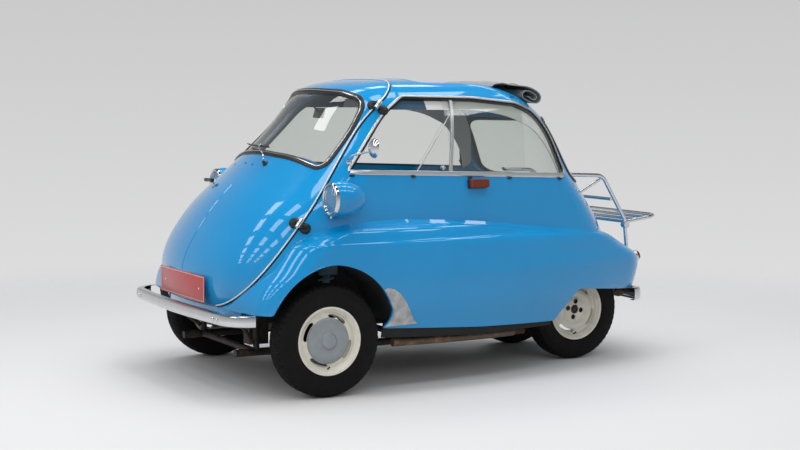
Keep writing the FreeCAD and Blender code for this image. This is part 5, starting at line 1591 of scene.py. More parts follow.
    def bumpers(self) -> None:
        """Chromed bumpers rolled from sheet, with bolts and back irons."""
        front = Form.ring((336.5, 458, 5200, 150, 622, 0, 0, 100, 1500, -1200))
        pressed = [(-33, 24.5), (-16, 24.5), (-7, 23.3), (-2, 20), (0.4, 13), (1.2, 0),
                   (0.4, -13), (-2, -20), (-7, -23.3), (-16, -24.5), (-33, -24.5),
                   (-33, -22.2), (-15, -22.2), (-7.6, -20.8), (-4, -18), (-2, -12),
                   (-1.2, 0), (-2, 12), (-4, 18), (-7.6, 20.8), (-15, 22.2), (-33, 22.2)]
        bolts = []
        path = self.ordered(front, lambda p: p[0] > 318)
        bar_ = self.rolled("front_bumper_bar", path, pressed)
        dress(bar_, (Finishes.CHROME,), "body", ["front_bumper"], 30)
        for sign in (1, -1):
            for y in (440, 478):
                spot = min(path, key=lambda p: abs(p[1] - sign * y) - (p[0] > 440) * 1.0)
                near = at(float(spot[0]) + 1.0, sign * y, 336)
                head = turned("bolt", [(0, 7), (5, 6.4), (8, 4.6), (9.5, 2), (10, 0), (10, -4),
                                       (0, -4)], 32)
                bolts.append(aim(head, near, Vector((1, sign * 0.09, 0))))
        dress(joined("bumper_bolts", bolts), (Finishes.CHROME,), "body")
        irons = [bar("iron", [at(x, sign * y, z) for x, y, z in line], 9.0)
                 for line in (((425, 455, 336), (340, 450, 330), (250, 380, 250), (200, 300, 200)),
                              ((-1904, 250, 303), (-1870, 250, 305), (-1820, 256, 312),
                               (-1770, 262, 318)))
                 for sign in (1, -1)]
        rear = Form.ring((303.5, 100, 600, 100, 372, 0, 0, 70, 2600, -1892))
        tall = [(u, v * 31.5 / 24.5) for u, v in pressed]
        path = self.ordered(rear, lambda p: -2200 < p[0] < -1790)
        dress(self.rolled("rear_bumper_bar", path, tall), (Finishes.CHROME,), "body",
              ["rear_bumper"], 30)
        dress(joined("bumper_irons", irons), (Finishes.FRAME,), "body")

    @staticmethod
    def ordered(ring: np.ndarray, keep: Callable[[np.ndarray], bool]) -> np.ndarray:
        """Run of a level ring that passes a test, in millimetres and in order."""
        marks = np.array([keep(p) for p in ring])
        start = next(i for i in range(len(ring)) if marks[i] and not marks[i - 1])
        order = [(start + i) % len(ring) for i in range(int(marks.sum()))]
        return ring[order]

    @staticmethod
    def rolled(name: str, path: np.ndarray, section: Outline) -> Piece:
        """Section (out, up) swept along a level path."""
        along = np.gradient(path[:, :2], axis=0)
        along /= np.linalg.norm(along, axis=1, keepdims=True)
        out = np.stack([along[:, 1], -along[:, 0]], axis=1)
        middle = path[:, :2].mean(0)
        if ((path[:, :2] - middle) * out).sum() < 0:
            out = -out
        return swept(name, np.array([
            [tuple(at(p[0] + o[0] * u, p[1] + o[1] * u, p[2] + v)) for u, v in section]
            for p, o in zip(path, out)]))

    def plates(self) -> None:
        """Blank red plate on the nose with a raised pale border, on its carrier."""
        low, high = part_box("front_plate")
        face = high.x
        plate = rounded_box("front_plate_sheet", Vector((face - 0.0015, low.y, low.z)),
                            Vector((face + 0.0002, high.y, high.z)), 0.6, 2)
        dress(plate, (Finishes.PLATE,), "door", ["front_plate"])
        carrier = rounded_box("front_plate_carrier", Vector((low.x, low.y + 0.004, low.z + 0.003)),
                              Vector((face - 0.0015, high.y - 0.004, high.z - 0.003)), 0.5, 2)
        dress(carrier, (Finishes.BORDER,), "door")
        y0, y1, z0, z1 = low.y + 0.006, high.y - 0.006, low.z + 0.006, high.z - 0.006
        frame_ = []
        for a, b in (((y0, z0), (y1, z0)), ((y0, z1), (y1, z1)), ((y0, z0), (y0, z1)),
                     ((y1, z0), (y1, z1))):
            frame_.append(bar("line", [Vector((face, *a)), Vector((face, *b))], 1.1, sides=8))
        for y in (low.y + 0.06, high.y - 0.06):
            screw = turned("screw", [(0, 2.6), (3.4, 2), (4.5, 0), (0, 0)], 20)
            frame_.append(aim(screw, Vector((face, y, (z0 + z1) / 2)), Vector((1, 0, 0))))
        dress(joined("front_plate_border", frame_), (Finishes.BORDER,), "door")

    def guards(self) -> None:
        """Scuffed aluminium plates on the flanks behind the front wheels."""
        outline = [(-256, 456), (-290, 448), (-320, 428), (-345, 399), (-367, 362),
                   (-387, 326), (-404, 302), (-420, 289), (-300, 286), (-200, 286),
                   (-150, 400)]
        made = []
        for low, high in ((500, 900), (-900, -500)):
            skin = self.shell.wings.solid("guard", -2.0, 0.0, OUTER)
            carve(skin, self.shell.wings.solid("inner", -0.4, 20.0, OUTER))
            carve(skin, prism("cut", outline, Plane.SIDE, low, high), how="INTERSECT")
            carve(skin, prism("arch", ARCH, Plane.SIDE, -900, 900))
            made.append(skin)
        dress(joined("stone_guards", made), (Finishes.GUARD,), "body")

    def vents(self) -> None:
        """Three small drain holes with rims on the nose, as black plugs whose black is painted
        shade inside the holes.
        """
        made = []
        for y, z in ((-64, 959), (21, 957), (-212, 946)):
            spot, normal = self.shell.cabin.front(y, z)
            hole = turned("hole", [(0, 0.8), (5.2, 0.8), (6, 0), (5.6, -2), (0, -2)], 24)
            made.append(aim(hole, spot, normal))
        dress(joined("nose_holes", made), (Finishes.BLACK,), "door")


# ------------------------------------------------------------------ wheels
@dataclass
class Wheels:
    """Tyres with a cut tread on pressed steel wheels with slots and caps."""

    radius: float = 0.240
    front_y: float = 0.600
    rear_y: float = 0.260
    wheelbase: float = 1.5
    around: int = 324
    groove: float = 5.0

    def build(self) -> None:
        """Builds and dresses the four wheels."""
        for sign, side in ((1, "left"), (-1, "right")):
            place = Vector((AXLE, sign * self.front_y, self.radius))
            body = f"{side}_front_wheel"
            tyre = self.tyre(f"{side}_front_tyre_tread", place)
            dress(tyre, (Finishes.TYRE,), body, [f"{side}_front_tyre"], 28)
            disc = self.front_rim(place, sign)
            dress(disc, (Finishes.WHEEL,), body, [f"{side}_front_rim"], 30)
            disc.name = f"{side}_front_disc"
            cap = self.cap(place, sign)
            dress(cap, (Finishes.CAP,), body, (), 30)
            cap.name = f"{side}_hub_cap"
            valve = self.valve(place, sign)
            dress(valve, (Finishes.SEAL,), body)
            valve.name = f"{side}_front_valve"
        tyres, discs, dark = [], [], []
        for sign in (1, -1):
            place = Vector((AXLE - self.wheelbase, sign * self.rear_y, self.radius))
            tyres.append(self.tyre("tyre", place))
            disc, hub = self.rear_rim(place, sign)
            discs.append(disc)
            dark.append(hub)
            dark.append(self.valve(place, sign))
        dress(joined("rear_tyre_treads", tyres), (Finishes.TYRE,), "rear_wheels",
              ["rear_tyres"], 28)
        dress(joined("rear_discs", discs), (Finishes.WHEEL,), "rear_wheels",
              (), 30)
        middle = Vector((AXLE - self.wheelbase, 0, self.radius))
        dark.append(bar("shaft", [middle + Vector((0, y, 0)) for y in (-0.25, 0.25)], 14.0,
                        sides=40))
        dress(joined("rear_hubs", dark), (Finishes.FRAME,), "rear_wheels",
              ["rear_wheel_set"])

    def half_profile(self) -> list[tuple[float, float]]:
        """Tyre profile from the middle of the tread to the bead: across and radius."""
        return [(0, 240), (8, 239.9), (16, 239.6), (24, 239), (31, 238.2), (38, 236.8),
                (44, 234.4), (48.5, 231.2), (52, 227), (54.6, 222), (56.8, 215), (58.8, 206),
                (59.4, 205), (60.2, 204.4), (60.4, 200), (61, 192), (61, 183), (60.2, 174),
                (58.8, 166), (57.6, 161), (58.0, 160), (57.6, 158.8), (55.8, 154),
                (53.4, 149.4), (50, 146.5), (46.5, 143), (43, 139), (38, 134), (33, 130),
                (28, 128)]

    def tyre(self, name: str, place: Vector) -> Piece:
        """Tyre as a fine grid whose tread face drops into its grooves."""
        half = self.half_profile()
        fine: list[tuple[float, float]] = []
        for (a, ra), (b, rb) in zip(half, half[1:]):
            steps = 3 if a < 48 and ra > 230 else 1
            fine += [(a + (b - a) * i / steps, ra + (rb - ra) * i / steps)
                     for i in range(steps)]
        fine.append(half[-1])
        across = [(-a, r) for a, r in reversed(fine[1:])] + fine
        rows = []
        for j in range(self.around):
            turn = 2 * math.pi * j / self.around
            ring = []
            for a, r in across:
                drop = self.tread(a, j) if r > 226 else 0.0
                ring.append((place.x + (r - drop) * MM * math.sin(turn), place.y + a * MM,
                             place.z - (r - drop) * MM * math.cos(turn)))
            rows.append(ring)
        return swept(name, np.array(rows), closed=True)

    def tread(self, a: float, j: int) -> float:
        """Depth of the groove at a place across the tread and a step round it."""
        zigzag = 2.0 if (j // 3) % 2 else -2.0
        for line in (-27.0, -9.5, 9.5, 27.0):
            if abs(a - line - zigzag) < 2.4:
                return self.groove
        if abs(a) > 36 and j % 6 < 2:
            return self.groove * min(1.0, (52 - abs(a)) / 6) if abs(a) < 52 else 0.0
        if abs(a) <= 36 and (j + int(abs(a) // 9) * 3) % 6 == 0:
            return 1.6
        return 0.0

    def face_profile(self, dish: Outline) -> list[tuple[float, float]]:
        """Closed profile of a pressed wheel: flange, well and a disc of its own."""
        rim = [(145, 49.5), (146.5, 51), (145.5, 53), (142, 53.6), (138, 52.4), (134.5, 49.5),
               (132, 46), (128, 42.6), (124, 39.6), (121.5, 36.5), (120.5, 33)]
        back = [(118, 20), (108, 14), (108, -14), (121, -22), (124, -46), (134, -50),
                (141, -54), (145, -52), (145, -49.5), (131, -46), (127, -42), (126, -22),
                (111, -16), (111, 16), (124, 23), (125, 34), (128.5, 39.4), (132, 43),
                (136, 46.6), (145, 49.5)]
        return rim + list(dish) + back

    def slots(self, disc: Piece, place: Vector, sign: int) -> Piece:
        """Cuts four curved slots close to the disc's edge."""
        for i in range(4):
            middle = math.radians(25 + 90 * i)
            arc_ = [(r * math.cos(middle + t), r * math.sin(middle + t))
                    for r, ts in ((114, np.linspace(-0.33, 0.33, 16)),
                                  (109, [0.41]), (103, [0.42]),
                                  (98.5, np.linspace(0.36, -0.36, 16)),
                                  (103, [-0.42]), (109, [-0.41])) for t in ts]
            outline = [((place.x - AXLE) / MM + u, place.z / MM + v) for u, v in arc_]
            low, high = sorted((place.y / MM + sign * 18.5, place.y / MM + sign * 60))
            carve(disc, prism("slot", outline, Plane.SIDE, low, high))
        return disc

    def front_rim(self, place: Vector, sign: int) -> Piece:
        """Front wheel's steel: dished disc with slots behind the cap."""
        dish = [(119, 30.6), (116.5, 29.4), (112, 30.4), (106, 33.2), (100, 34.6), (94, 34.8),
                (60, 33), (30, 32), (0, 32), (0, 29), (60, 29.6), (94, 31.4), (100, 31.2),
                (106, 29.8), (112, 27), (117, 25.6)]
        disc = turned("rim", self.face_profile(dish), 96)
        return self.slots(aim(disc, place, Vector((0, sign, 0))), place, sign)

    def cap(self, place: Vector, sign: int) -> Piece:
        """Pressed hub cap with a raised boss."""
        cap = turned("cap", [(0, 58), (12, 57.8), (22, 57), (29, 55.4), (33, 52.6),
                             (35, 49.2), (37.5, 47.6), (43, 48.6), (52, 49.2), (64, 48.8),
                             (76, 47), (86, 44.2), (93, 41), (97, 37.6), (98, 35.6),
                             (97, 34.6), (92, 34.6), (0, 34.6)], 96)
        return aim(cap, place, Vector((0, sign, 0)))

    def rear_rim(self, place: Vector, sign: int) -> tuple[Piece, Piece]:
        """Rear wheel's steel with its bare centre, and the dark hub with its nuts."""
        dish = [(119, 30.6), (116.5, 28.4), (112, 28), (104, 30), (98, 33.6), (91, 37.4),
                (83, 39), (75, 37.6), (69, 33.6), (63, 30.6), (58, 30.4), (54, 33), (50, 35),
                (30, 35.4), (26, 36.6), (22, 36.6), (22, 31), (50, 31), (55, 28.6), (60, 26.4),
                (66, 27.4), (72, 32), (83, 35.4), (91, 33.4), (98, 29.4), (105, 26),
                (112, 24), (117, 24)]
        disc = aim(turned("rim", self.face_profile(dish), 96), place, Vector((0, sign, 0)))
        self.slots(disc, place, sign)
        y = place.y / MM
        low, high = sorted((y + sign * 21, y + sign * 60))
        for i in range(4):
            turn = math.radians(10 + 90 * i)
            ring = [((place.x - AXLE) / MM + 38 * math.cos(turn) + 12.5 * math.cos(t),
                     place.z / MM + 38 * math.sin(turn) + 12.5 * math.sin(t))
                    for t in np.linspace(0, 2 * math.pi, 24, endpoint=False)]
            carve(disc, prism("hole", ring, Plane.SIDE, low, high))
        hub = turned("hub", [(0, 38), (8, 37.6), (10, 34), (17, 32.4), (20.5, 30), (21.4, 24),
                             (58, 22), (58, 6), (0, 6)], 48)
        parts = [aim(hub, place, Vector((0, sign, 0)))]
        for i in range(4):
            turn = math.radians(10 + 90 * i)
            nut = turned("nut", [(0, 32), (5, 31.4), (7.4, 28), (7.4, 20), (0, 20)], 6)
            spot = place + Vector((0.038 * math.cos(turn), 0, 0.038 * math.sin(turn)))
            parts.append(aim(nut, spot, Vector((0, sign, 0))))
        return disc, joined("hub", parts)

    def valve(self, place: Vector, sign: int) -> Piece:
        """Rubber tyre valve near the disc's edge."""
        foot = place + Vector((0.0, sign * 0.029, -0.121))
        return bar("valve", [foot, foot + Vector((0, sign * 0.012, 0.004)),
                             foot + Vector((0, sign * 0.022, 0.012))], 3.4, sides=12)


# ------------------------------------------------------------------ inside
@dataclass
class Cabin:
    """Seat, steering wheel, dial and small parts inside the cabin."""

    shell: Shell

    def build(self) -> None:
        """Builds and dresses the inside."""
        self.seat()
        self.steering()
        self.dash()
        self.inner_mirror()

    def seat(self) -> None:
        """Bench cushion and back with crowned faces and pleats."""
        base = self.cushion("seat_base", at(-685, 0, 537), Vector((430, 980, 165)), 0.0)
        dress(base, (Finishes.SEAT,), "body", ["seat_cushion"], 60)
        low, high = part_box("seat_back")
        middle = (low + high) / 2
        back = self.cushion("seat_back_pad", middle, Vector((95, 900, 268)),
                            math.radians(-14))
        dress(back, (Finishes.SEAT,), "body", ["seat_back"], 60)

    def cushion(self, name: str, middle: Vector, size: Vector, tilt: float) -> Piece:
        """Crowned cushion: a fine grid box, rounded, puffed and pressed along its pleats.

        Args:
            name: name of the piece.
            middle: its middle, in metres.
            size: length, width and height in millimetres.
            tilt: turn about the car's cross axis, in radians.

        Returns:
            The closed cushion.
        """
        alone()
        bpy.ops.mesh.primitive_cube_add(size=2)
        obj = bpy.context.object
        bpy.ops.object.mode_set(mode="EDIT")
        bpy.ops.mesh.select_all(action="SELECT")
        bpy.ops.mesh.subdivide(number_cuts=63)
        bpy.ops.object.mode_set(mode="OBJECT")
        count = len(obj.data.vertices)
        raw = np.zeros(count * 3)
        obj.data.vertices.foreach_get("co", raw)
        p = raw.reshape(-1, 3)
        half = np.array([size.x, size.y, size.z]) / 2
        thin = int(np.argmin(half))
        flats = [k for k in range(3) if k != thin]
        radius = half[thin] * 0.82
        q = p * half
        inner = np.clip(q, -(half - radius), half - radius)
        away = q - inner
        length = np.maximum(np.linalg.norm(away, axis=1, keepdims=True), 1e-9)
        edge = np.abs(p).max(axis=1, keepdims=True) > 0.999
        q = np.where(edge, inner + away / length * radius, q)
        crown = np.ones(count)
        for k in flats:
            crown *= np.clip(1 - np.abs(q[:, k] / half[k]) ** 4, 0, 1)
        q[:, thin] *= 0.84 + 0.16 * crown
        pleat = 0.0
        for line in np.linspace(-0.86, 0.86, 13):
            pleat = pleat + np.exp(-((q[:, 1] / half[1] - line) * half[1] / 5.0) ** 2)
        q[:, thin] -= np.sign(q[:, thin]) * pleat * 4.5 * crown
        q[:, thin] += 1.6 * np.sin(q[:, 1] / 71) * np.sin(q[:, flats[0]] / 53) * crown
        c, s = math.cos(tilt), math.sin(tilt)
        turned_ = np.stack([q[:, 0] * c + q[:, 2] * s, q[:, 1], -q[:, 0] * s + q[:, 2] * c], 1)
        obj.data.vertices.foreach_set("co", (turned_ * MM + np.array(middle)).ravel())
        obj.data.update()
        obj.name = name
        return outward(obj)

    def steering(self) -> None:
        """Steering wheel: slim ivory rim with finger grips, three spokes and a horn push."""
        low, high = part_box("steering_wheel")
        axis = Vector((-0.762, 0, 0.648)).normalized()
        hub = Vector((0.44875, 0.250, 0.748))
        middle = (low + high) / 2
        middle = hub + axis * max((middle - hub).dot(axis), 0.0)
        alone()
        bpy.ops.mesh.primitive_torus_add(major_radius=0.190, minor_radius=0.0105,
                                         major_segments=144, minor_segments=20)
        ring = bpy.context.object
        for vertex in ring.data.vertices:
            turn = math.atan2(vertex.co.y, vertex.co.x)
            flat = Vector((vertex.co.x, vertex.co.y, 0)).normalized() * 0.190
            grip = 1.0 - 0.07 * max(0.0, math.cos(turn * 48)) ** 4
            vertex.co = flat + (vertex.co - flat) * grip
        parts = [aim(ring, middle, axis)]
        boss = turned("boss", [(0, 14), (14, 13), (20, 9), (24, 4), (29, 0), (30, -6),
                               (27, -14), (22, -22), (0, -22)], 48)
        parts.append(aim(boss, middle, axis))
        side = Vector((0, 1, 0))
        up = axis.cross(side).normalized()
        for turn in (90, 210, 330):
            way = (side * math.cos(math.radians(turn)) + up * math.sin(math.radians(turn)))
            parts.append(bar("spoke", [middle + way * 0.02 - axis * 0.006,
                                       middle + way * 0.10 - axis * 0.004,
                                       middle + way * 0.186], 6.0, sides=16))
        dress(joined("steering_wheel_rim", parts), (Finishes.IVORY,), "steering_wheel",
              ["steering_wheel"], 50)

    def dash(self) -> None:
        """Dial with ticks and a needle, a chrome bezel and three switches."""
        low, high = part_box("dash_panel")
        spot = Vector((low.x, 0.250, 0.905))
        back = Vector((-1, 0, 0))
        bezel = turned("bezel", [(42, 0), (43, 5), (46, 7), (50, 5), (52, 0), (52, -6),
                                 (42, -6), (42, 0)], 64)
        knobs = [aim(bezel, spot, back)]
        for y in (-60, 0, 60):
            knob = turned("knob", [(0, 16), (7, 15), (9, 11), (7, 7), (4, 4), (4, -4),
                                   (0, -4)], 24)
            knobs.append(aim(knob, Vector((low.x, y * MM, 0.866)), back))
        dress(joined("dial_bezel", knobs), (Finishes.CHROME,), "door")
        face = turned("dial_face", [(0, 2.0), (42, 2.0), (42, -4), (0, -4)], 48)
        dress(aim(face, spot, back), (Finishes.BLACK,), "door")
        ticks = []
        for i in range(13):
            turn = math.radians(-210 + 20 * i)
            way = Vector((0, math.cos(turn), -math.sin(turn)))
            ticks.append(bar("tick", [spot + way * 0.032 - Vector((0.0026, 0, 0)),
                                      spot + way * 0.039 - Vector((0.0026, 0, 0))], 0.9,
                             sides=8))
        way = Vector((0, math.cos(2.2), math.sin(2.2)))
        ticks.append(bar("needle", [spot - Vector((0.0034, 0, 0)),
                                    spot + way * 0.034 - Vector((0.0034, 0, 0))], 1.0,
                         sides=8))
        dress(joined("dial_marks", ticks), (Finishes.BORDER,), "door")

    def inner_mirror(self) -> None:
        """Small inside mirror hung from the windscreen's head."""
        spot, normal = self.shell.cabin.front(0, 1264)
        root = spot - normal * 0.042
        back = Vector((-0.9, 0.1, -0.25)).normalized()
        head = root + Vector((-0.045, 0, -0.048))
        case = rounded_box("case", Vector((-0.058, -0.024, -0.006)),
                           Vector((0.058, 0.024, 0.006)), 4.0, 4)
        case = on_skin(case, head, back)
        stem = bar("stem", [root, root + Vector((-0.02, 0, -0.02)), head], 3.6, sides=16)
        dress(joined("inner_mirror_case", [case, stem]), (Finishes.BLACK,), "door")
        glass = rounded_box("inner_mirror_glass", Vector((-0.054, -0.0205, 0.0055)),
                            Vector((0.054, 0.0205, 0.0066)), 0.4, 1)
        dress(on_skin(glass, head, back), (Finishes.MIRROR,), "door")


@dataclass
class RoofRoll:
    """The canvas roof, rolled back and strapped, with its front flap laid on the roof."""

    shell: Shell
    half_width: float = 300.0
    cloth: float = 4.0

    def build(self) -> None:
        """Builds and dresses the roll and its straps."""
        line, where = through([
            (-1010, 1316), (-1022, 1325), (-1050, 1331), (-1072, 1333), (-1100, 1328),
            (-1130, 1324), (-1160, 1322), (-1195, 1320), (-1225, 1314), (-1252, 1303),
            (-1274, 1288), (-1284, 1270), (-1280, 1254), (-1266, 1244), (-1246, 1244),
            (-1226, 1250), (-1206, 1258), (-1190, 1268), (-1184, 1280), (-1192, 1292),
            (-1210, 1297), (-1230, 1292), (-1248, 1282), (-1258, 1270), (-1254, 1262),
            (-1242, 1260), (-1228, 1268), (-1216, 1276)], 150)
        along = np.gradient(line, axis=0)
        along /= np.linalg.norm(along, axis=1, keepdims=True)
        normal = np.stack([-along[:, 1], along[:, 0]], axis=1)
        steps = 96
        top, under = [], []
        for k in range(steps + 1):
            share = -1 + 2 * k / steps
            y = share * self.half_width
            sag = 8.0 * share ** 2
            for i, (x, z) in enumerate(line):
                t = where[i] / where[-1]
                wave = (2.2 * math.sin(y / 46 + 5 * t) + 1.4 * math.sin(y / 23 - 9 * t)) * (
                    0.35 + 0.65 * math.sin(math.pi * min(t * 1.6, 1.0)))
                gather = 1.0 + 0.03 * math.sin(y / 90)
                px = x + normal[i, 0] * wave
                pz = 1290 + (z - 1290) * gather - sag + normal[i, 1] * wave
                top.append((px, y, pz))
                under.append((px - normal[i, 0] * self.cloth, y,
                              pz - normal[i, 1] * self.cloth))
        points = np.array([tuple(at(*p)) for p in top + under])
        cloth = outward(from_arrays("roof_canvas", points, self.faces(len(line), steps)))
        dress(cloth, (Finishes.ROOF,), "body", ["sunroof_roll"], 70)
        straps = []
        for y in (-185, 185):
            loop = [(-1150, 1306), (-1168, 1330), (-1210, 1330), (-1262, 1312), (-1294, 1276),
                    (-1288, 1244), (-1258, 1234), (-1212, 1238), (-1176, 1252)]
            straps.append(bar("strap", [at(x, y, z - 6.0) for x, z in loop], 3.0,
                              sides=10))
        dress(joined("roof_straps", straps), (Finishes.BLACK,), "body")

    @staticmethod
    def faces(count: int, steps: int) -> list[tuple]:
        """Faces of the canvas: its top, its underside and its four edges.

        Args:
            count: points along each line of the canvas.
            steps: strips between those lines.

        Returns:
            The faces, for all points of the top followed by those of the underside.
        """
        half = count * (steps + 1)
        faces = []
        for k in range(steps):
            for i in range(count - 1):
                a = k * count + i
                faces.append((a, a + 1, a + count + 1, a + count))
                faces.append((half + a, half + a + count, half + a + count + 1, half + a + 1))
        for i in range(count - 1):
            faces.append((i, half + i, half + i + 1, i + 1))
            a = steps * count + i
            faces.append((a, a + 1, half + a + 1, half + a))
        for k in range(steps):
            a, b = k * count, (k + 1) * count
            faces.append((a, b, half + b, half + a))
            a, b = a + count - 1, b + count - 1
            faces.append((a, half + a, half + b, b))
        return faces


@dataclass
class Chassis:
    """Finishes of the pieces that keep their construction mesh, and small parts there."""

    shell: Shell

    def build(self) -> None:
        """Dresses the carried-over pieces and adds the front struts."""
        # The wheelhouses and the bulkhead take the near-black well finish, a painted shade with
        # patches of dirt.
        for name, finish in (("floor_pan", Finishes.FRAME), ("front_wheelhouses", Finishes.WELL),
                             ("rear_bulkhead", Finishes.WELL), ("chassis_frame", Finishes.FRAME),
                             ("front_axle", Finishes.FRAME), ("rear_axle_casing", Finishes.CAST),
                             ("engine_block", Finishes.CAST), ("exhaust", Finishes.PIPE),
                             ("steering_box", Finishes.FRAME), ("steering_column", Finishes.FRAME),
                             ("controls", Finishes.FRAME), ("left_knuckle", Finishes.FRAME),
                             ("right_knuckle", Finishes.FRAME), ("luggage_rack", Finishes.CHROME),
                             ("dash_panel", Finishes.PAINT)):
            node = bpy.data.objects[name]
            node.data.materials.clear()
            node.data.materials.append(look(finish))
        self.struts()
        self.sills()

    def sills(self) -> None:
        """Near-black boards inside the sills, a painted shade for the gap under them, and the air
        pipes that run under them.
        """
        boards, pipes = [], []
        wings = self.shell.wings
        outline = [(-262, 302), (-262, 234), (-330, 229), (-783, 208), (-1236, 206),
                   (-1236, 302)]
        for sign in (1, -1):
            low, high = sorted((sign * 300, sign * 900))
            board = carve(wings.solid("board", 20.0, 60.0), wings.solid("inner", 28.0, 80.0))
            boards.append(carve(board, prism("cut", outline, Plane.SIDE, low, high),
                                how="INTERSECT"))
            route = [(x, wings.side(x, 232, sign > 0)[0].y - sign * 0.058, z)
                     for x, z in ((-336, 202), (-500, 199), (-700, 195), (-900, 192),
                                  (-1010, 192))]
            pipes.append(bar("pipe", [Vector((at(x, 0, 0).x, y, z * MM)) for x, y, z in route],
                             18.0, sides=32))
            for x, y, z in (route[1], route[3]):
                pipes.append(bar("hanger", [Vector((at(x, 0, 0).x, y, 0.262)),
                                            Vector((at(x, 0, 0).x, y, z * MM))], 7.0,
                                 sides=12))
        dress(joined("sill_boards", boards), (Finishes.WELL,), "body")
        dress(joined("sill_pipes", pipes), (Finishes.PIPE,), "body")

    def struts(self) -> None:
        """Sprung strut over each front wheel."""
        made, coils = [], []
        for sign in (1, -1):
            foot, head = at(-60, sign * 440, 250), at(-100, sign * 425, 520)
            made.append(bar("strut", [foot, head], 17.0, sides=32))
            way = (head - foot).normalized()
            side = way.orthogonal().normalized()
            other = way.cross(side)
            coil = []
            for i in range(97):
                turn = 2 * math.pi * i / 16
                base = foot.lerp(head, 0.2 + 0.75 * i / 96)
                coil.append(base + (side * math.cos(turn) + other * math.sin(turn)) * 0.031)
            coils.append(bar("coil", coil, 5.0, sides=12, smooth=2))
            low, high = sorted((sign * 412, sign * 446))
            made.append(rounded_box("turret", at(-142, low, 492), at(-58, high, 548), 7.0))
        dress(joined("front_struts", made), (Finishes.STRUT,), "body")
        dress(joined("front_coils", coils), (Finishes.STRUT,), "body")


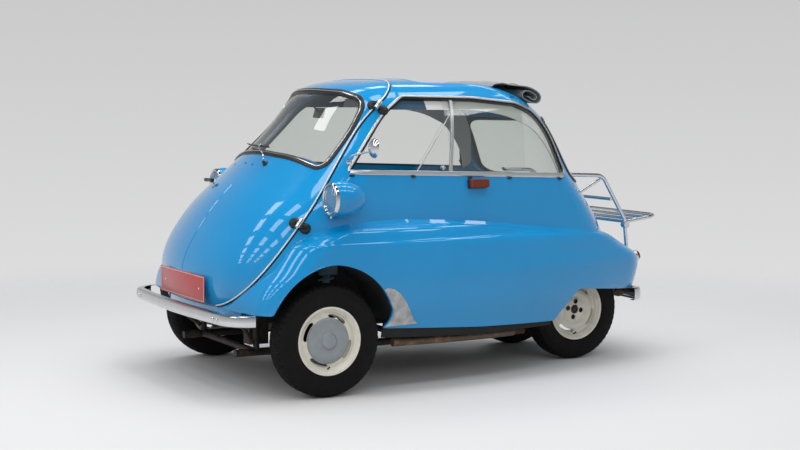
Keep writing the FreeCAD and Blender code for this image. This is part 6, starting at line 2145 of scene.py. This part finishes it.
# ------------------------------------------------------------------ studio
@dataclass
class Studio:
    """Pale floor that fades into the backdrop, soft panels, and the camera."""

    floor_tone: str = "CDCBCA"
    wall_tone: str = "D0D0D0"
    near_tone: str = "E8E8EA"
    ceiling_tone: str = "565A5E"
    air: float = 0.5

    def build(self) -> None:
        """Builds the studio and sets the camera."""
        self.floor()
        self.world()
        self.lights()
        self.camera()
        bpy.context.scene.view_settings.view_transform = "Standard"

    def floor(self) -> None:
        """Level floor that catches the shadow and turns clear far from the car."""
        alone()
        bpy.ops.mesh.primitive_plane_add(size=60, location=(0, 0, -0.001))
        floor = bpy.context.object
        floor.name = "studio_floor"
        made, tree = new_material("studio_paper")
        place = add_node(tree, "ShaderNodeTexCoord").outputs["Object"]
        away = add_node(tree, "ShaderNodeVectorMath", {0: place}, operation="LENGTH")
        fade = add_node(tree, "ShaderNodeMapRange", {
            "Value": away.outputs["Value"], "From Min": 1.5, "From Max": 5.0},
            interpolation_type="SMOOTHSTEP")
        paper = add_node(tree, "ShaderNodeBsdfPrincipled", {
            "Base Color": linear(self.floor_tone), "Roughness": 0.7})
        clear = add_node(tree, "ShaderNodeBsdfTransparent")
        mixed = add_node(tree, "ShaderNodeMixShader", {
            0: fade.outputs[0], 1: paper.outputs[0], 2: clear.outputs[0]})
        add_node(tree, "ShaderNodeOutputMaterial", {"Surface": mixed.outputs[0]})
        floor.data.materials.append(made)

    def world(self) -> None:
        """Room light that is dim at eye level, and a plain wall for the camera."""
        world = bpy.data.worlds.new("studio_air")
        bpy.context.scene.world = world
        world.use_nodes = True
        tree = world.node_tree
        tree.nodes.clear()
        way = add_node(tree, "ShaderNodeTexCoord").outputs["Generated"]
        height = add_node(tree, "ShaderNodeSeparateXYZ", {0: way}).outputs["Z"]
        rise = add_node(tree, "ShaderNodeMapRange", {
            "Value": height, "From Min": -0.05, "From Max": 0.7, "To Min": 0.45, "To Max": 1.5})
        power = add_node(tree, "ShaderNodeMath", {0: rise.outputs[0], 1: self.air},
                         operation="MULTIPLY")
        light = add_node(tree, "ShaderNodeBackground", {"Color": linear("E4EAF0"),
                                                        "Strength": power.outputs[0]})
        shade = linear(self.near_tone)
        for low, high, tone in ((-0.22, 0.0, self.wall_tone), (0.0, 0.75, self.ceiling_tone)):
            step = add_node(tree, "ShaderNodeMapRange", {
                "Value": height, "From Min": low, "From Max": high})
            shade = mixed_colour(tree, step.outputs[0], shade, linear(tone))
        seen = add_node(tree, "ShaderNodeBackground", {"Color": shade, "Strength": 1.0})
        path = add_node(tree, "ShaderNodeLightPath")
        either = add_node(tree, "ShaderNodeMath", {
            0: path.outputs["Is Camera Ray"], 1: path.outputs["Is Glossy Ray"]},
            operation="MAXIMUM")
        either = add_node(tree, "ShaderNodeMath", {
            0: either.outputs[0], 1: path.outputs["Is Transmission Ray"]},
            operation="MAXIMUM")
        mixed = add_node(tree, "ShaderNodeMixShader", {
            0: either.outputs[0], 1: light.outputs[0], 2: seen.outputs[0]})
        add_node(tree, "ShaderNodeOutputWorld", {"Surface": mixed.outputs[0]})

    def lights(self) -> None:
        """Soft panels round the car, and three rows of roof lights above it."""
        panels = [("side", (1.2, 5.2, 2.6), (0, 0, 0.7), (5.0, 1.6), 62),
                  ("nose", (5.2, 1.4, 2.2), (0.6, 0, 0.7), (1.2, 2.8), 34),
                  ("far", (-2.5, -4.5, 3.2), (0, 0, 0.8), (4.0, 1.8), 46),
                  ("over", (-0.2, 0.0, 4.3), (-0.2, 0, 0.6), (2.2, 1.6), 40)]
        soft = len(panels)
        for row in (0.5, 2.5, -1.8):
            for step in range(12):
                x = -2.8 + 1.08 * step
                panels.append(("roof_light", (x, row, 4.1), (x, row * 0.7, 0.6),
                               (0.74, 0.7), 8.0))
        for i, (name, place, target, size, power) in enumerate(panels):
            data = bpy.data.lights.new(name, "AREA")
            data.shape = "RECTANGLE"
            data.size, data.size_y = size
            data.energy = power
            lamp = bpy.data.objects.new(name, data)
            lamp.location = place
            lamp.rotation_euler = (Vector(target) - Vector(place)).to_track_quat(
                "-Z", "Y").to_euler()
            lamp.visible_glossy = i >= soft
            bpy.context.scene.collection.objects.link(lamp)

    def camera(self) -> None:
        """Camera at standing height, to the left of the nose."""
        data = bpy.data.cameras.new("camera")
        data.lens = 72.06
        data.sensor_width = 36
        view = bpy.data.objects.new("camera", data)
        bpy.context.scene.collection.objects.link(view)
        yaw, pitch, roll = (math.radians(a) for a in (-119.03, -4.86, 0.32))
        way = Vector((math.cos(yaw) * math.cos(pitch), math.sin(yaw) * math.cos(pitch),
                      math.sin(pitch)))
        turn = way.to_track_quat("-Z", "Y").to_matrix().to_4x4()
        view.matrix_world = (Matrix.Translation((3.74245, 6.6075, 1.2973)) @ turn
                             @ Matrix.Rotation(roll, 4, "Z"))
        bpy.context.scene.camera = view


def main() -> None:
    """Builds the car piece by piece and closes the scene."""
    logging.basicConfig(level=logging.INFO, format="%(name)s: %(message)s")
    shell = Shell()
    shell.build()
    Glazing(shell).build()
    Trims(shell).build()
    Lamps(shell).build()
    Fittings(shell).build()
    Wheels().build()
    Cabin(shell).build()
    RoofRoll(shell).build()
    Chassis(shell).build()
    Studio().build()


if __name__ == "__main__":
    main()
